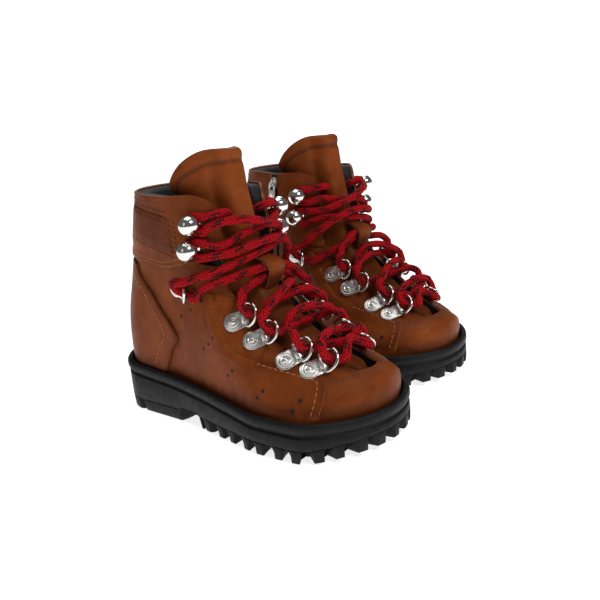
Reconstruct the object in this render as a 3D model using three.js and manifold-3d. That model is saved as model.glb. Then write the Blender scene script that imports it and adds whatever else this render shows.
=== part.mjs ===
// A pair of child's lace-up hiking boots with a side zip, ball speed hooks and D-ring eyelets.
// Millimetres, +Z up, toes towards -Y, right boot at -X, the floor at Z = 0.
// Each boot is drawn once, as the right one with its lateral side towards -X; the left one is its mirror
// image.
import * as THREE from 'three';
import { mergeVertices } from 'three/addons/utils/BufferGeometryUtils.js';
import Module from 'manifold-3d';

const wasm = await Module();
wasm.setup();

// ---------------------------------------------------------------- driving dimensions
const SOLE_LENGTH = 185;
const TOE_Y = -SOLE_LENGTH / 2;
const HEEL_Y = SOLE_LENGTH / 2;
const TOE_ROUNDING = 30;
const HEEL_ROUNDING = 26;
const SOLE_MARGIN = 4.5;            // how far the sole stands out from the upper
const FOREFOOT_HEIGHT = 21;         // floor to the top of the welt
const HEEL_HEIGHT = 31;
const HEEL_RISE_FROM = -37;         // where the sole starts to thicken towards the heel
const UPPER_SINKS = 4;              // how deep the upper sits inside the rim of the sole
const COLLAR_HEIGHT = 131;
const TONGUE_RISE = 19;             // tongue tip above the collar
const PAIR_SPACING = 103.2;         // between the two boots' centres
const LEFT_SET_BACK = 16.4;         // the left boot stands a little behind the right one
const LEFT_TOE_IN = -3.8;           // degrees
const GAP = 0.3;

const LEATHER = 1.5;                // thickness
const OVERLAY = [0.5, 2];           // offsets of a leather layer that lies on another
const MAIN_LAYER = [-LEATHER, 0];
const STAY_LAYER = [-3, -2.5];      // metal stay under the leather that the rivets clinch to
const LINING_LAYER = [-4.8, -3.6];
const TONGUE_INSIDE = -10.5;
const TONGUE_OUTSIDE = -5.8;
const TONGUE_BULGE = 4.8;           // how far the tongue swells into the throat
// how much deeper its sides lie behind the flaps, where the lace ends are tucked
const TONGUE_POCKET = 5;

// side profiles of the upper on its centre plane, as [y, z], from the sole up
const FRONT_PROFILE = [[-88, 17], [-89.5, 23.5], [-89.2, 30], [-86.5, 35.5], [-80, 39], [-71, 41.5],
  [-62, 44.5],
  [-53, 49], [-44, 54], [-35.5, 60.5], [-27.5, 68], [-21, 76], [-16.6, 85], [-14.1, 95], [-12, 106],
    [-10, 118],
  [-7.5, COLLAR_HEIGHT - 1]];
const BACK_PROFILE = [[88, 27], [88.5, 36], [87.5, 48], [85.5, 60], [82.5, 72], [78.5, 84], [74, 96],
  [69, 108],
  [64, 120], [59.5, COLLAR_HEIGHT]];
// half widths: of the foot along the length, and of the shaft with height
const LATERAL_WIDTH = [[-90, 33], [-60, 37.5], [-40, 37.2], [-15, 34], [10, 30.5], [35, 28.6], [60, 28.8],
  [90, 28]];
const MEDIAL_WIDTH = [[-90, 31], [-60, 35.5], [-45, 34.5], [-20, 30.5], [5, 26.8], [35, 26.5], [60, 27.5],
  [90, 27]];
const SHAFT_WIDTH = [[20, 30], [45, 29], [60, 27.5], [75, 26.5], [90, 26.8], [110, 28.3],
  [COLLAR_HEIGHT, 30]];
const TOE_SWING = 4;                // the toe points this far to the medial side
const INSTEP_ROUNDING = 30;
const BACK_ROUNDING = 27;

// Places on the upper are [u, v]: u runs once round the boot from the front centre over the lateral side,
// the heel at 0.5 and the medial side; v runs from the sole at 0 to the collar at 1.
const THROAT = [[0.17, 0.045], [0.23, 0.07], [0.3, 0.082], [0.38, 0.094], [0.47, 0.104], [0.57, 0.11],
  [0.67, 0.108],
  [0.78, 0.096], [0.88, 0.088], [1, 0.086]];
const VAMP_SEAM = [[0, 0.113], [0.125, 0.113], [0.16, 0.128], [0.233, 0.15], [0.275, 0.167], [0.317, 0.183],
  [0.467, 0.175], [0.6, 0.166]];
const ZIP_LINE = [[0, 0.76], [0.3, 0.75], [0.475, 0.721], [0.675, 0.75], [0.842, 0.767], [0.985, 0.781]];
const THROAT_START = 0.17;
const VAMP_TOP = 0.6;
const QUARTER_TOP = 0.72;
const CUFF_TOP = 0.985;
const LINING_TOP = 0.97;
const MEDIAL_CUFF_BOTTOM = 0.64;
const TONGUE_SPLIT = 0.94;          // the tongue bends here, above the top row of lace
// rivets of the five D-rings from the ankle down; the medial top one stands clear of the zip
const RING_PLACES = [[0.245, 0.57], [0.142, 0.474], [0.13, 0.386], [0.114, 0.27], [0.109, 0.19]];
const MEDIAL_TOP_RING = [0.215, 0.552];
const HOOK_PLACES = [[0.146, 0.875], [0.158, 0.783]];

const CLIP = { rivetToBar: 6.8, barHeight: 2.6, plateHalf: 5.1, plateBottom: 0.5, plateTop: 1.4,
  barrel: 1.9,
  barrelBore: 1.15, barrelHalf: 3.6, shank: 1.3, holeRadius: 1.75 };
const RING = { wire: 0.8, depth: 9.2, halfWidth: 5.9, tilt: 32 };
const HOOK = { ball: 4.8, ballHeight: 9.9, neck: 1.5, base: 2.4 };
const LACE_RADIUS = 2.2;
const LACE_SIDES = 5;

const ZIP = { slotHalf: 2.7, tapeHalf: 4.6, tapeLayer: [-2.8, -2.1], bottom: 0.45 };
const SLIDER = { halfWidth: 2.1, halfLength: 3.6, bottom: -1.5, top: 1.4, archTop: 4.4, archHalf: 0.8 };
const PULL = { bar: 0.55, halfWidth: 2.6, arm: 0.9, window: 4.2, length: 15 };

// ---------------------------------------------------------------- materials
const material = (color, roughness, metalness = 0) => new THREE.MeshStandardMaterial({ color, roughness,
  metalness });
const MATERIALS = {
  leather: material(0x7a3a16, 0.42),
  rubber: material(0x1b1b1c, 0.75),
  lining: material(0x121213, 0.95),
  metal: material(0xd8d6cf, 0.18, 1),
  lace: material(0xc4121c, 0.7),
};

// ---------------------------------------------------------------- small maths
const clamp = (x, low, high) => Math.min(Math.max(x, low), high);
const mix = (a, b, t) => a + (b - a) * t;
const smooth = (x, from, to) => {
  const t = clamp((x - from) / (to - from), 0, 1);
  return t * t * (3 - 2 * t);
};
const rounding = (s) => Math.sqrt(1 - (1 - clamp(s, 0, 1)) ** 2);
const table = (rows, x) => {
  if (x <= rows[0][0]) return rows[0][1];
  for (let i = 1; i < rows.length; i++) {
    const [x0, y0] = rows[i - 1];
    const [x1, y1] = rows[i];
    if (x <= x1) return mix(y0, y1, (x - x0) / (x1 - x0));
  }
  return rows[rows.length - 1][1];
};

// ---------------------------------------------------------------- the surface of the upper
const PROFILE_STEPS = 200;
const profile = (points) => new THREE.SplineCurve(points.map(([y, z]) => new THREE.Vector2(y, z)))
  .getSpacedPoints(PROFILE_STEPS);
const FRONT = profile(FRONT_PROFILE);
const BACK = profile(BACK_PROFILE);
const onProfile = (points, v) => {
  const k = clamp(v, 0, 1) * PROFILE_STEPS;
  const i = Math.min(Math.floor(k), PROFILE_STEPS - 1);
  return points[i].clone().lerp(points[i + 1], k - i);
};
const distanceTo = (points, y, z) => Math.min(...points.map((p) => Math.hypot(p.x - y, p.y - z)));
const weltHeight = (y) => mix(FOREFOOT_HEIGHT, HEEL_HEIGHT, clamp((y - HEEL_RISE_FROM) / 125, 0, 1));
const centreLine = (y) => TOE_SWING * smooth(-y, 30, 90);

function baseSurface(u, v) {
  const angle = 2 * Math.PI * u;
  const s = (1 - Math.cos(angle)) / 2;
  const side = Math.sin(angle) >= 0 ? -1 : 1;
  const front = onProfile(FRONT, v);
  const back = onProfile(BACK, v);
  const y = mix(front.x, back.x, s);
  const straight = mix(FRONT[0].y, BACK[0].y, s);
  const sag = (weltHeight(y) - UPPER_SINKS - straight) * (1 - smooth(v, 0,
    0.45)) * Math.sqrt(Math.sin(Math.PI * s));
  const z = mix(front.y, back.y, s) + sag;
  const foot = table(side < 0 ? LATERAL_WIDTH : MEDIAL_WIDTH, y);
  const inShaft = smooth(z, 38, 88);
  const width = mix(foot, table(SHAFT_WIDTH, z), inShaft);
  const nose = rounding(distanceTo(FRONT, y, z) / INSTEP_ROUNDING) * rounding(distanceTo(BACK, y,
    z) / BACK_ROUNDING);
  return new THREE.Vector3(centreLine(y) * (1 - inShaft) + side * width * nose, y, z);
}

function normalAt(u, v) {
  const step = 1e-3;
  const low = clamp(v - step, 0, 1);
  const high = clamp(v + step, 0, 1);
  const around = baseSurface(u + step, v).sub(baseSurface(u - step, v));
  const up = baseSurface(u, high).sub(baseSurface(u, low));
  return up.cross(around).normalize();
}

// a point on the upper, moved out by offset; above the collar the surface goes on straight up
function surface(u, v, offset = 0) {
  const inside = clamp(v, 0, 1);
  const above = Math.max(v - 1, 0) * COLLAR_HEIGHT;
  return baseSurface(u, inside).addScaledVector(normalAt(u, inside), offset)
    .add(new THREE.Vector3(0, above * 0.1, above));
}

// ---------------------------------------------------------------- solids
function facingOut(positions, triangles) {
  let volume = 0;
  const [a, b, c] = [new THREE.Vector3(), new THREE.Vector3(), new THREE.Vector3()];
  for (const [i, j, k] of triangles) {
    a.copy(positions[i]);
    b.copy(positions[j]);
    c.copy(positions[k]);
    volume += a.dot(b.cross(c));
  }
  return volume > 0 ? triangles : triangles.map(([i, j, k]) => [i, k, j]);
}

function geometryFrom(positions, triangles) {
  const geometry = new THREE.BufferGeometry();
  const flat = facingOut(positions, triangles).flatMap((t) => t.flatMap((i) => positions[i].toArray()));
  geometry.setAttribute('position', new THREE.Float32BufferAttribute(flat, 3));
  return geometry;
}

// A sheet with thickness. placeAt(i, j) gives [u, v]; layer is [inner, outer] offsets or a function of (u,
// v).
function sheet({ columns, rows, placeAt, layer, active = () => true, closed = false }) {
  const across = closed ? columns : columns + 1;
  const positions = [];
  const index = (i, j, outer) => ((j * across + (i % across)) * 2) + outer;
  for (let j = 0; j <= rows; j++) {
    for (let i = 0; i < across; i++) {
      const [u, v] = placeAt(i, j);
      const [inner, outer] = typeof layer === 'function' ? layer(u, v) : layer;
      positions.push(surface(u, v, inner), surface(u, v, outer));
    }
  }
  const on = (i, j) => {
    const column = closed ? (i + columns) % columns : i;
    return j >= 0 && j < rows && column >= 0 && column < columns && active(column, j);
  };
  const triangles = [];
  const quad = (a, b, c, d) => triangles.push([a, b, c], [a, c, d]);
  for (let j = 0; j < rows; j++) {
    for (let i = 0; i < columns; i++) {
      if (!on(i, j)) continue;
      quad(index(i, j, 1), index(i + 1, j, 1), index(i + 1, j + 1, 1), index(i, j + 1, 1));
      quad(index(i, j, 0), index(i, j + 1, 0), index(i + 1, j + 1, 0), index(i + 1, j, 0));
      if (!on(i, j - 1)) quad(index(i, j, 0), index(i + 1, j, 0), index(i + 1, j, 1), index(i, j, 1));
      if (!on(i, j + 1)) quad(index(i, j + 1, 1), index(i + 1, j + 1, 1), index(i + 1, j + 1, 0),
        index(i, j + 1, 0));
      if (!on(i - 1, j)) quad(index(i, j, 1), index(i, j + 1, 1), index(i, j + 1, 0), index(i, j, 0));
      if (!on(i + 1, j)) quad(index(i + 1, j, 0), index(i + 1, j + 1, 0), index(i + 1, j + 1, 1),
        index(i + 1, j, 1));
    }
  }
  return geometryFrom(positions, triangles);
}

const toSolid = (geometry) => {
  const bare = geometry.index ? geometry.toNonIndexed() : geometry.clone();
  bare.deleteAttribute('normal');
  bare.deleteAttribute('uv');
  const merged = mergeVertices(bare, 1e-4);
  return new wasm.Manifold(new wasm.Mesh({
    numProp: 3,
    vertProperties: new Float32Array(merged.attributes.position.array),
    triVerts: new Uint32Array(merged.index.array),
  }));
};
const toGeometry = (solid) => {
  const { vertProperties, triVerts } = solid.getMesh();
  const geometry = new THREE.BufferGeometry();
  geometry.setAttribute('position', new THREE.BufferAttribute(new Float32Array(vertProperties), 3));
  geometry.setIndex(new THREE.BufferAttribute(new Uint32Array(triVerts), 1));
  return geometry;
};
const join = (geometries) => toGeometry(geometries.map(toSolid).reduce((all, next) => all.add(next)));
const cut = (geometry, tools) => toGeometry(tools.map(toSolid).reduce((rest, tool) => rest.subtract(tool),
  toSolid(geometry)));

// a local frame: x forward to the throat, y along the edge, z out of the leather
function place(geometry, frame) {
  return geometry.applyMatrix4(new THREE.Matrix4().makeBasis(frame.x, frame.y,
    frame.z).setPosition(frame.origin));
}
const block = (frame, [x0, x1], [y0, y1], [z0, z1]) => place(
  new THREE.BoxGeometry(x1 - x0, y1 - y0, z1 - z0).translate((x0 + x1) / 2, (y0 + y1) / 2, (z0 + z1) / 2),
    frame);
const post = (frame, radius, [z0, z1], sides) => place(
  new THREE.CylinderGeometry(radius, radius, z1 - z0, sides).rotateX(Math.PI / 2).translate(0, 0,
    (z0 + z1) / 2), frame);

// a round section carried along a polyline
function sweep(points, radius, sides, closed = false) {
  const count = points.length;
  const at = (i) => points[closed ? (i + count) % count : clamp(i, 0, count - 1)];
  const positions = [];
  let normal = null;
  for (let i = 0; i < count; i++) {
    const tangent = at(i + 1).clone().sub(at(i - 1)).normalize();
    if (!normal) normal = new THREE.Vector3(0.31, 0.2, 0.93).cross(tangent);
    normal.addScaledVector(tangent, -normal.dot(tangent)).normalize();
    const side = tangent.clone().cross(normal);
    for (let k = 0; k < sides; k++) {
      const angle = (2 * Math.PI * k) / sides;
      positions.push(at(i).clone().addScaledVector(normal, radius * Math.cos(angle))
        .addScaledVector(side, radius * Math.sin(angle)));
    }
  }
  const triangles = [];
  const index = (i, k) => (i % count) * sides + (k % sides);
  for (let i = 0; i < (closed ? count : count - 1); i++) {
    for (let k = 0; k < sides; k++) {
      triangles.push([index(i, k), index(i + 1, k), index(i + 1, k + 1)]);
      triangles.push([index(i, k), index(i + 1, k + 1), index(i, k + 1)]);
    }
  }
  if (!closed) {
    for (let k = 1; k < sides - 1; k++) {
      triangles.push([index(0, 0), index(0, k), index(0, k + 1)]);
      triangles.push([index(count - 1, 0), index(count - 1, k + 1), index(count - 1, k)]);
    }
  }
  return geometryFrom(positions, triangles);
}

// ---------------------------------------------------------------- sole unit and footbed
const STATIONS = 16;
function outline(inset) {
  const from = TOE_Y + inset;
  const to = HEEL_Y - inset;
  const points = [];
  const edge = (y, widths, side) => {
    const width = (table(widths, y) + SOLE_MARGIN - inset)
      * rounding((y - from) / (TOE_ROUNDING - inset)) * rounding((to - y) / (HEEL_ROUNDING - inset));
    return new THREE.Vector2(centreLine(y) + side * width, y);
  };
  const stationY = (i) => mix(from, to, (1 - Math.cos((Math.PI * i) / STATIONS)) / 2);
  for (let i = 0; i <= STATIONS; i++) points.push(edge(stationY(i), LATERAL_WIDTH, -1));
  for (let i = STATIONS - 1; i > 0; i--) points.push(edge(stationY(i), MEDIAL_WIDTH, 1));
  return points;
}

// stacks outlines of [inset, height(y)] from the bottom up and closes both ends
function stackedOutlines(levels) {
  const positions = [];
  const around = 2 * STATIONS;
  for (const [inset, height] of levels) {
    for (const p of outline(inset)) positions.push(new THREE.Vector3(p.x, p.y, height(p.y)));
  }
  const triangles = [];
  for (let level = 0; level < levels.length - 1; level++) {
    for (let i = 0; i < around; i++) {
      const a = level * around + i;
      const b = level * around + ((i + 1) % around);
      triangles.push([a, b, b + around], [a, b + around, a + around]);
    }
  }
  const cap = (first, flip) => {
    const across = (i) => [first + i, first + ((around - i) % around)];
    for (let i = 0; i < STATIONS; i++) {
      const [a, b] = across(i);
      const [c, d] = across(i + 1);
      for (const t of [[a, b, c], [b, d, c]]) {
        if (new Set(t).size === 3) triangles.push(flip ? [t[0], t[2], t[1]] : t);
      }
    }
  };
  cap(0, false);
  cap((levels.length - 1) * around, true);
  return geometryFrom(positions, triangles);
}

const LUG_DEPTH = 7;
const LUG_GAP = 4.6;
const LUG_CUT = 9;
const HEEL_BREAST = 29.6;
const ARCH_START = 11;
function lugGaps() {
  const upright = { x: new THREE.Vector3(1, 0, 0), y: new THREE.Vector3(0, 1, 0),
    z: new THREE.Vector3(0, 0, 1) };
  const gaps = [];
  const edge = outline(0);
  const centre = new THREE.Vector2(2, -52);
  const heelCentre = new THREE.Vector2(0, 62);
  const add = (x, y, angle) => {
    const frame = {
      x: new THREE.Vector3(Math.cos(angle), Math.sin(angle), 0),
      y: new THREE.Vector3(-Math.sin(angle), Math.cos(angle), 0),
      z: upright.z, origin: new THREE.Vector3(x, y, 0),
    };
    gaps.push(block(frame, [-LUG_CUT, 6], [-LUG_GAP / 2, LUG_GAP / 2], [-1, LUG_DEPTH]));
  };
  const ray = (from, angle) => {
    let best = null;
    for (const p of edge) {
      const off = Math.abs(Math.atan2(Math.sin(Math.atan2(p.y - from.y, p.x - from.x) - angle),
        Math.cos(Math.atan2(p.y - from.y, p.x - from.x) - angle)));
      if (!best || off < best.off) best = { off, reach: p.distanceTo(from) };
    }
    add(from.x + Math.cos(angle) * best.reach, from.y + Math.sin(angle) * best.reach, angle);
  };
  for (let i = 0; i < 7; i++) ray(centre, Math.PI * (1 + (i + 0.5) / 7));
  for (let i = 0; i < 4; i++) ray(heelCentre, Math.PI * ((i + 0.5) / 4));
  const side = (y, widths, sign) => add(centreLine(y) + sign * (table(widths, y) + SOLE_MARGIN), y,
    sign > 0 ? 0 : Math.PI);
  for (const y of [-42, -24, -6, 48]) {
    side(y, LATERAL_WIDTH, -1);
    side(y, MEDIAL_WIDTH, 1);
  }
  const whole = { ...upright, origin: new THREE.Vector3() };
  gaps.push(block(whole, [-60, 60], [ARCH_START, HEEL_BREAST], [-1, LUG_DEPTH + 1]));
  return gaps;
}

function outsole() {
  const rim = (below) => (y) => weltHeight(y) - below;
  const body = stackedOutlines([
    [1.2, () => 0], [0, () => 2.5], [0, rim(7.6)], [1.1, rim(7)], [1.1, rim(5.4)], [-0.3, rim(4.8)],
      [-0.3, rim(1.2)],
    [1.2, rim(0)], [3.2, rim(0.3)], [3.5, rim(UPPER_SINKS + 0.6)],
  ]);
  return cut(body, lugGaps());
}

function footbed() {
  const floor = (above) => (y) => weltHeight(y) - UPPER_SINKS - 0.6 + above;
  return stackedOutlines([[10, floor(GAP)], [10, floor(3)]]);
}

// ---------------------------------------------------------------- leather, lining and tongue
const throatAt = (v) => table(THROAT, v);
const seamAt = (v) => table(VAMP_SEAM, v);
const zipAt = (v) => table(ZIP_LINE, v);
const PERIMETER = 215;              // round the shaft, to turn a width into a step of u
const gapInU = (width) => width / PERIMETER;

// vamp and quarters share these heights, so that their facets meet along the seam
const SEAM_HEIGHTS = [0, 0.045, 0.09, 0.13, THROAT_START, 0.21, 0.26, 0.31, 0.38, ZIP.bottom, 0.53,
  VAMP_TOP];

function vamp() {
  const heights = SEAM_HEIGHTS;
  const wing = 3;
  const middle = 4;
  const columns = 2 * wing + middle;
  const placeAt = (i, j) => {
    const v = heights[j];
    const throat = throatAt(v);
    const right = i > columns / 2;
    const k = right ? columns - i : i;
    const u = k <= wing ? mix(seamAt(v), throat, k / wing) : mix(throat, 0, (k - wing) / (middle / 2));
    return [right ? -u : u, v];
  };
  const active = (i, j) => heights[j] < THROAT_START || i < wing || i >= wing + middle;
  return sheet({ columns, rows: heights.length - 1, placeAt, layer: MAIN_LAYER, active });
}

// the counter's front edge; the quarters share its columns, so that the two layers' facets lie parallel
const COUNTER_EDGE = [[0, 0.333], [0.142, 0.312], [0.267, 0.287], [0.45, 0.312], [0.6, 0.358],
  [0.72, 0.37]];
const COUNTER_COLUMNS = 5;

// the side panel from the vamp seam to the back of the heel; on the medial side it is split by the zip
function quarter(medial) {
  const heights = [...SEAM_HEIGHTS, VAMP_TOP + 0.012, 0.66, QUARTER_TOP];
  const front = (v) => (v <= VAMP_TOP ? seamAt(v) + gapInU(1.5 * GAP) : throatAt(v) + gapInU(1));
  const slot = gapInU(ZIP.slotHalf);
  const stopsAt = (v) => {
    const counter = table(COUNTER_EDGE, v);
    if (!medial) return [front(v), mix(front(v), counter, 0.33), mix(front(v), counter, 0.66), counter];
    const zip = 1 - zipAt(v);
    return [front(v), mix(front(v), zip - slot, 0.5), zip - slot, zip + slot, mix(zip + slot, counter, 0.5),
      counter];
  };
  const first = stopsAt(0).length - 1;
  const columns = first + COUNTER_COLUMNS;
  const placeAt = (i, j) => {
    const stops = stopsAt(heights[j]);
    const toBack = i - first;
    let u = toBack <= 0 ? stops[i] : mix(stops[first], 0.5, toBack / COUNTER_COLUMNS);
    if (toBack === COUNTER_COLUMNS) u -= gapInU(GAP);
    return [medial ? 1 - u : u, heights[j]];
  };
  const active = (i, j) => !(medial && i === 2 && heights[j] >= ZIP.bottom);
  return sheet({ columns, rows: heights.length - 1, placeAt, layer: MAIN_LAYER, active });
}

function heelCounter() {
  const heights = SEAM_HEIGHTS.slice(1);
  const columns = 2 * COUNTER_COLUMNS;
  const placeAt = (i, j) => [mix(table(COUNTER_EDGE, heights[j]), 1 - table(COUNTER_EDGE, heights[j]),
    i / columns), heights[j]];
  return sheet({ columns, rows: heights.length - 1, placeAt, layer: OVERLAY });
}

// height of the cuff's top edge and lower edge at u
const cuffTop = (u) => table([[0.083, 0.93], [0.1, 0.965], [0.13, 0.978], [0.2, 0.976], [0.3, CUFF_TOP]],
  u);
const cuffBottom = (u) => table([[0.09, 0.755], [0.12, 0.735], [0.17, 0.69], [0.24, 0.65], [0.34, 0.65],
  [0.5, 0.635]], u);

function cuff() {
  const columns = 16;
  const rows = 5;
  const placeAt = (i, j) => {
    const start = 0.087;
    const roughly = mix(start, zipAt(0.8) - gapInU(ZIP.slotHalf), i / columns);
    const folded = roughly > 0.5 ? 1 - roughly : roughly;
    const v = mix(cuffBottom(folded), cuffTop(folded), j / rows);
    const end = zipAt(v) - gapInU(ZIP.slotHalf);
    return [mix(Math.max(start, throatAt(v)), end, i / columns), v];
  };
  return sheet({ columns, rows, placeAt, layer: OVERLAY });
}

function medialCuff() {
  const columns = 5;
  const rows = 6;
  const placeAt = (i, j) => {
    const roughly = mix(0.09, 0.235, i / columns);
    const v = mix(MEDIAL_CUFF_BOTTOM, cuffTop(roughly), j / rows);
    return [1 - mix(throatAt(v) + gapInU(0.5), 1 - zipAt(v) - gapInU(ZIP.slotHalf), i / columns), v];
  };
  return sheet({ columns, rows, placeAt, layer: OVERLAY });
}

function lining() {
  const heights = [0.03, 0.1, THROAT_START, 0.24, 0.32, 0.42, 0.55, 0.7, 0.85, LINING_TOP];
  const half = 10;
  const mouth = 2;
  const columns = 2 * half;
  const placeAt = (i, j) => {
    const v = heights[j];
    const right = i > half;
    const k = right ? columns - i : i;
    const throat = throatAt(v) + gapInU(1.5);
    const u = k <= mouth ? throat * (k / mouth) : mix(throat, 0.5, (k - mouth) / (half - mouth));
    return [right ? 1 - u : u, v];
  };
  const active = (i, j) => heights[j] < THROAT_START || (i >= mouth && i < columns - mouth);
  return sheet({ columns, rows: heights.length - 1, placeAt, layer: LINING_LAYER, active, closed: true });
}

const TONGUE_HALF = [[0.19, 0.05], [0.25, 0.11], [0.36, 0.14], [0.55, 0.16], [0.8, 0.2], [1, 0.25]];
const tongueLayer = (u, v) => {
  const around = u > 0.5 ? 1 - u : Math.abs(u);
  const throat = throatAt(Math.min(v, 1));
  const middle = 1 - smooth(around, 0.35 * throat, 0.72 * throat);
  const pocket = TONGUE_POCKET * smooth(v, 0.7, 0.8) * (1 - 0.7 * smooth(v, 1.0, 1.08)) * (1 - middle);
  const outer = TONGUE_OUTSIDE + TONGUE_BULGE * middle * smooth(v, 0.19, 0.3) - pocket;
  return [Math.min(TONGUE_INSIDE, outer - 3), outer];
};

const TONGUE_COLUMNS = 4;           // on each side of the middle
function tonguePart(bottom, topAt, rows) {
  const placeAt = (i, j) => {
    const k = Math.abs(i - TONGUE_COLUMNS);
    const v = mix(bottom, topAt(k / TONGUE_COLUMNS), j / rows);
    const half = table(TONGUE_HALF, v);
    const throat = throatAt(Math.min(v, 1));
    const stops = [0, 0.51 * throat, 0.85 * throat, 1.25 * throat, half];
    return [Math.sign(TONGUE_COLUMNS - i) * Math.min(stops[k], (half * k) / TONGUE_COLUMNS), v];
  };
  return sheet({ columns: 2 * TONGUE_COLUMNS, rows, placeAt, layer: tongueLayer });
}
const tongueLower = () => tonguePart(0.19, () => TONGUE_SPLIT - 0.007, 10);
const tongueUpper = () => tonguePart(TONGUE_SPLIT,
  (spread) => 1 + (TONGUE_RISE / COLLAR_HEIGHT) * (1 - spread ** 2.5), 4);

function pullLoop() {
  const half = gapInU(6.5);
  const [bottom, top] = [0.655, 0.93];
  const layer = (u, v) => {
    const stand = 2.2 + 3.6 * Math.sin((Math.PI * (v - bottom)) / (top - bottom));
    return [stand, stand + 1.5];
  };
  return sheet({ columns: 2, rows: 6, placeAt: (i, j) => [0.5 + half * (i - 1), mix(bottom, top, j / 6)],
    layer });
}

// ---------------------------------------------------------------- frames for the hardware
const throatPoint = (v) => surface(0, v, 0);
// the frame of a riveted fitting at (u, v), aimed across the throat towards height aimV
function fittingFrame([u, v], medial, aimV) {
  const at = medial ? 1 - u : u;
  const origin = surface(at, v, 0);
  const z = normalAt(at, v);
  const aim = throatPoint(aimV).sub(origin);
  const x = aim.addScaledVector(z, -aim.dot(z)).normalize();
  return { origin, x, y: z.clone().cross(x), z };
}
const RING_AIMS = RING_PLACES.map(([, v], i) => (i === 0 ? v + 0.04 : (v + RING_PLACES[i - 1][1]) / 2));
const ringPlaces = (medial) => (medial ? [MEDIAL_TOP_RING, ...RING_PLACES.slice(1)] : RING_PLACES);
const ringFrames = (medial) => ringPlaces(medial).map((p, i) => fittingFrame(p, medial, RING_AIMS[i]));
const hookFrames = (medial) => HOOK_PLACES.map((p) => fittingFrame(p, medial, p[1] - 0.01));
const along = (frame, x, y, z) => frame.origin.clone().addScaledVector(frame.x, x).addScaledVector(frame.y,
  y)
  .addScaledVector(frame.z, z);

const rivetHoles = (frames) => frames.map((frame) => post(frame, CLIP.holeRadius, [-3, 4], 6));

// the stay under the leather: a narrow sheet through the given places
function stay(places, medial, layer, halfWidth) {
  const steps = [];
  for (let i = 0; i < places.length; i++) {
    steps.push(places[i]);
    if (i < places.length - 1) {
      const pieces = Math.max(1, Math.round(Math.hypot((places[i + 1][0] - places[i][0]) * PERIMETER,
        (places[i + 1][1] - places[i][1]) * 125) / 8));
      for (let k = 1; k < pieces; k++) {
        steps.push([mix(places[i][0], places[i + 1][0], k / pieces),
          mix(places[i][1], places[i + 1][1], k / pieces)]);
      }
    }
  }
  const first = steps[0];
  const last = steps[steps.length - 1];
  const run = [last[0] - first[0], last[1] - first[1]];
  const size = Math.hypot(run[0] * PERIMETER, run[1] * 125);
  const end = (p, sign) => [p[0] + (sign * run[0] * 2.5) / size, p[1] + (sign * run[1] * 2.5) / size];
  steps[0] = end(first, -1);
  steps[steps.length - 1] = end(last, 1);
  const placeAt = (i, j) => {
    const [u, v] = steps[j];
    const shifted = u + gapInU(halfWidth) * (i - 1);
    return [medial ? 1 - shifted : shifted, v];
  };
  return sheet({ columns: 2, rows: steps.length - 1, placeAt, layer });
}

function clip(frame) {
  const plate = new THREE.Shape();
  plate.moveTo(CLIP.rivetToBar - 1, -4.2);
  plate.lineTo(3.4, -CLIP.plateHalf);
  plate.absarc(0, 0, CLIP.plateHalf, -Math.PI / 2 + 0.2, Math.PI / 2 - 0.2, true);
  plate.lineTo(3.4, CLIP.plateHalf);
  plate.lineTo(CLIP.rivetToBar - 1, 4.2);
  plate.closePath();
  const flat = new THREE.ExtrudeGeometry(plate, { depth: CLIP.plateTop - CLIP.plateBottom,
    bevelEnabled: false, curveSegments: 4 });
  const barrelShape = new THREE.Shape().absarc(0, 0, CLIP.barrel, 0, 2 * Math.PI);
  barrelShape.holes.push(new THREE.Path().absarc(0, 0, CLIP.barrelBore, 0, 2 * Math.PI, true));
  const barrel = new THREE.ExtrudeGeometry(barrelShape, { depth: 2 * CLIP.barrelHalf, bevelEnabled: false,
    curveSegments: 3 })
    .rotateX(Math.PI / 2).translate(CLIP.rivetToBar, CLIP.barrelHalf, CLIP.barHeight);
  return join([
    place(flat.translate(0, 0, CLIP.plateBottom), frame),
    place(barrel, frame),
    post(frame, CLIP.shank, [STAY_LAYER[0] + 0.2, CLIP.plateTop - 0.1], 5),
  ]);
}
const clips = (medial) => join([stay(ringPlaces(medial), medial, STAY_LAYER, 2.6),
  ...ringFrames(medial).map(clip)]);

function hook(frame) {
  const ball = new THREE.SphereGeometry(HOOK.ball, 7, 6).rotateX(Math.PI / 2).translate(0, 0,
    HOOK.ballHeight);
  return join([
    post(frame, HOOK.base, [OVERLAY[1] + GAP, OVERLAY[1] + GAP + 0.8], 6),
    post(frame, HOOK.neck, [-1, HOOK.ballHeight], 6),
    place(ball, frame),
  ]);
}
const HOOK_STAY = [-1.3, -0.7];
const hooks = (medial) => join([stay(HOOK_PLACES, medial, HOOK_STAY, 3), ...hookFrames(medial).map(hook)]);

// ---------------------------------------------------------------- D-rings
const RING_OUTLINE = [[0, -4.4], [0, 4.4], [1.1, 5.7], [3.4, RING.halfWidth], [6.2, 5], [8.4, 2.7],
  [RING.depth, 0],
  [8.4, -2.7], [6.2, -5], [3.4, -RING.halfWidth], [1.1, -5.7]];
function ringFrame(clipFrame) {
  const tilt = THREE.MathUtils.degToRad(RING.tilt);
  const x = clipFrame.x.clone().multiplyScalar(Math.cos(tilt)).addScaledVector(clipFrame.z, Math.sin(tilt));
  return { origin: along(clipFrame, CLIP.rivetToBar, 0, CLIP.barHeight), x, y: clipFrame.y,
    z: x.clone().cross(clipFrame.y) };
}
const ring = (frame) => sweep(RING_OUTLINE.map(([x, y]) => along(frame, x, y, 0)), RING.wire, 5, true);

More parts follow.
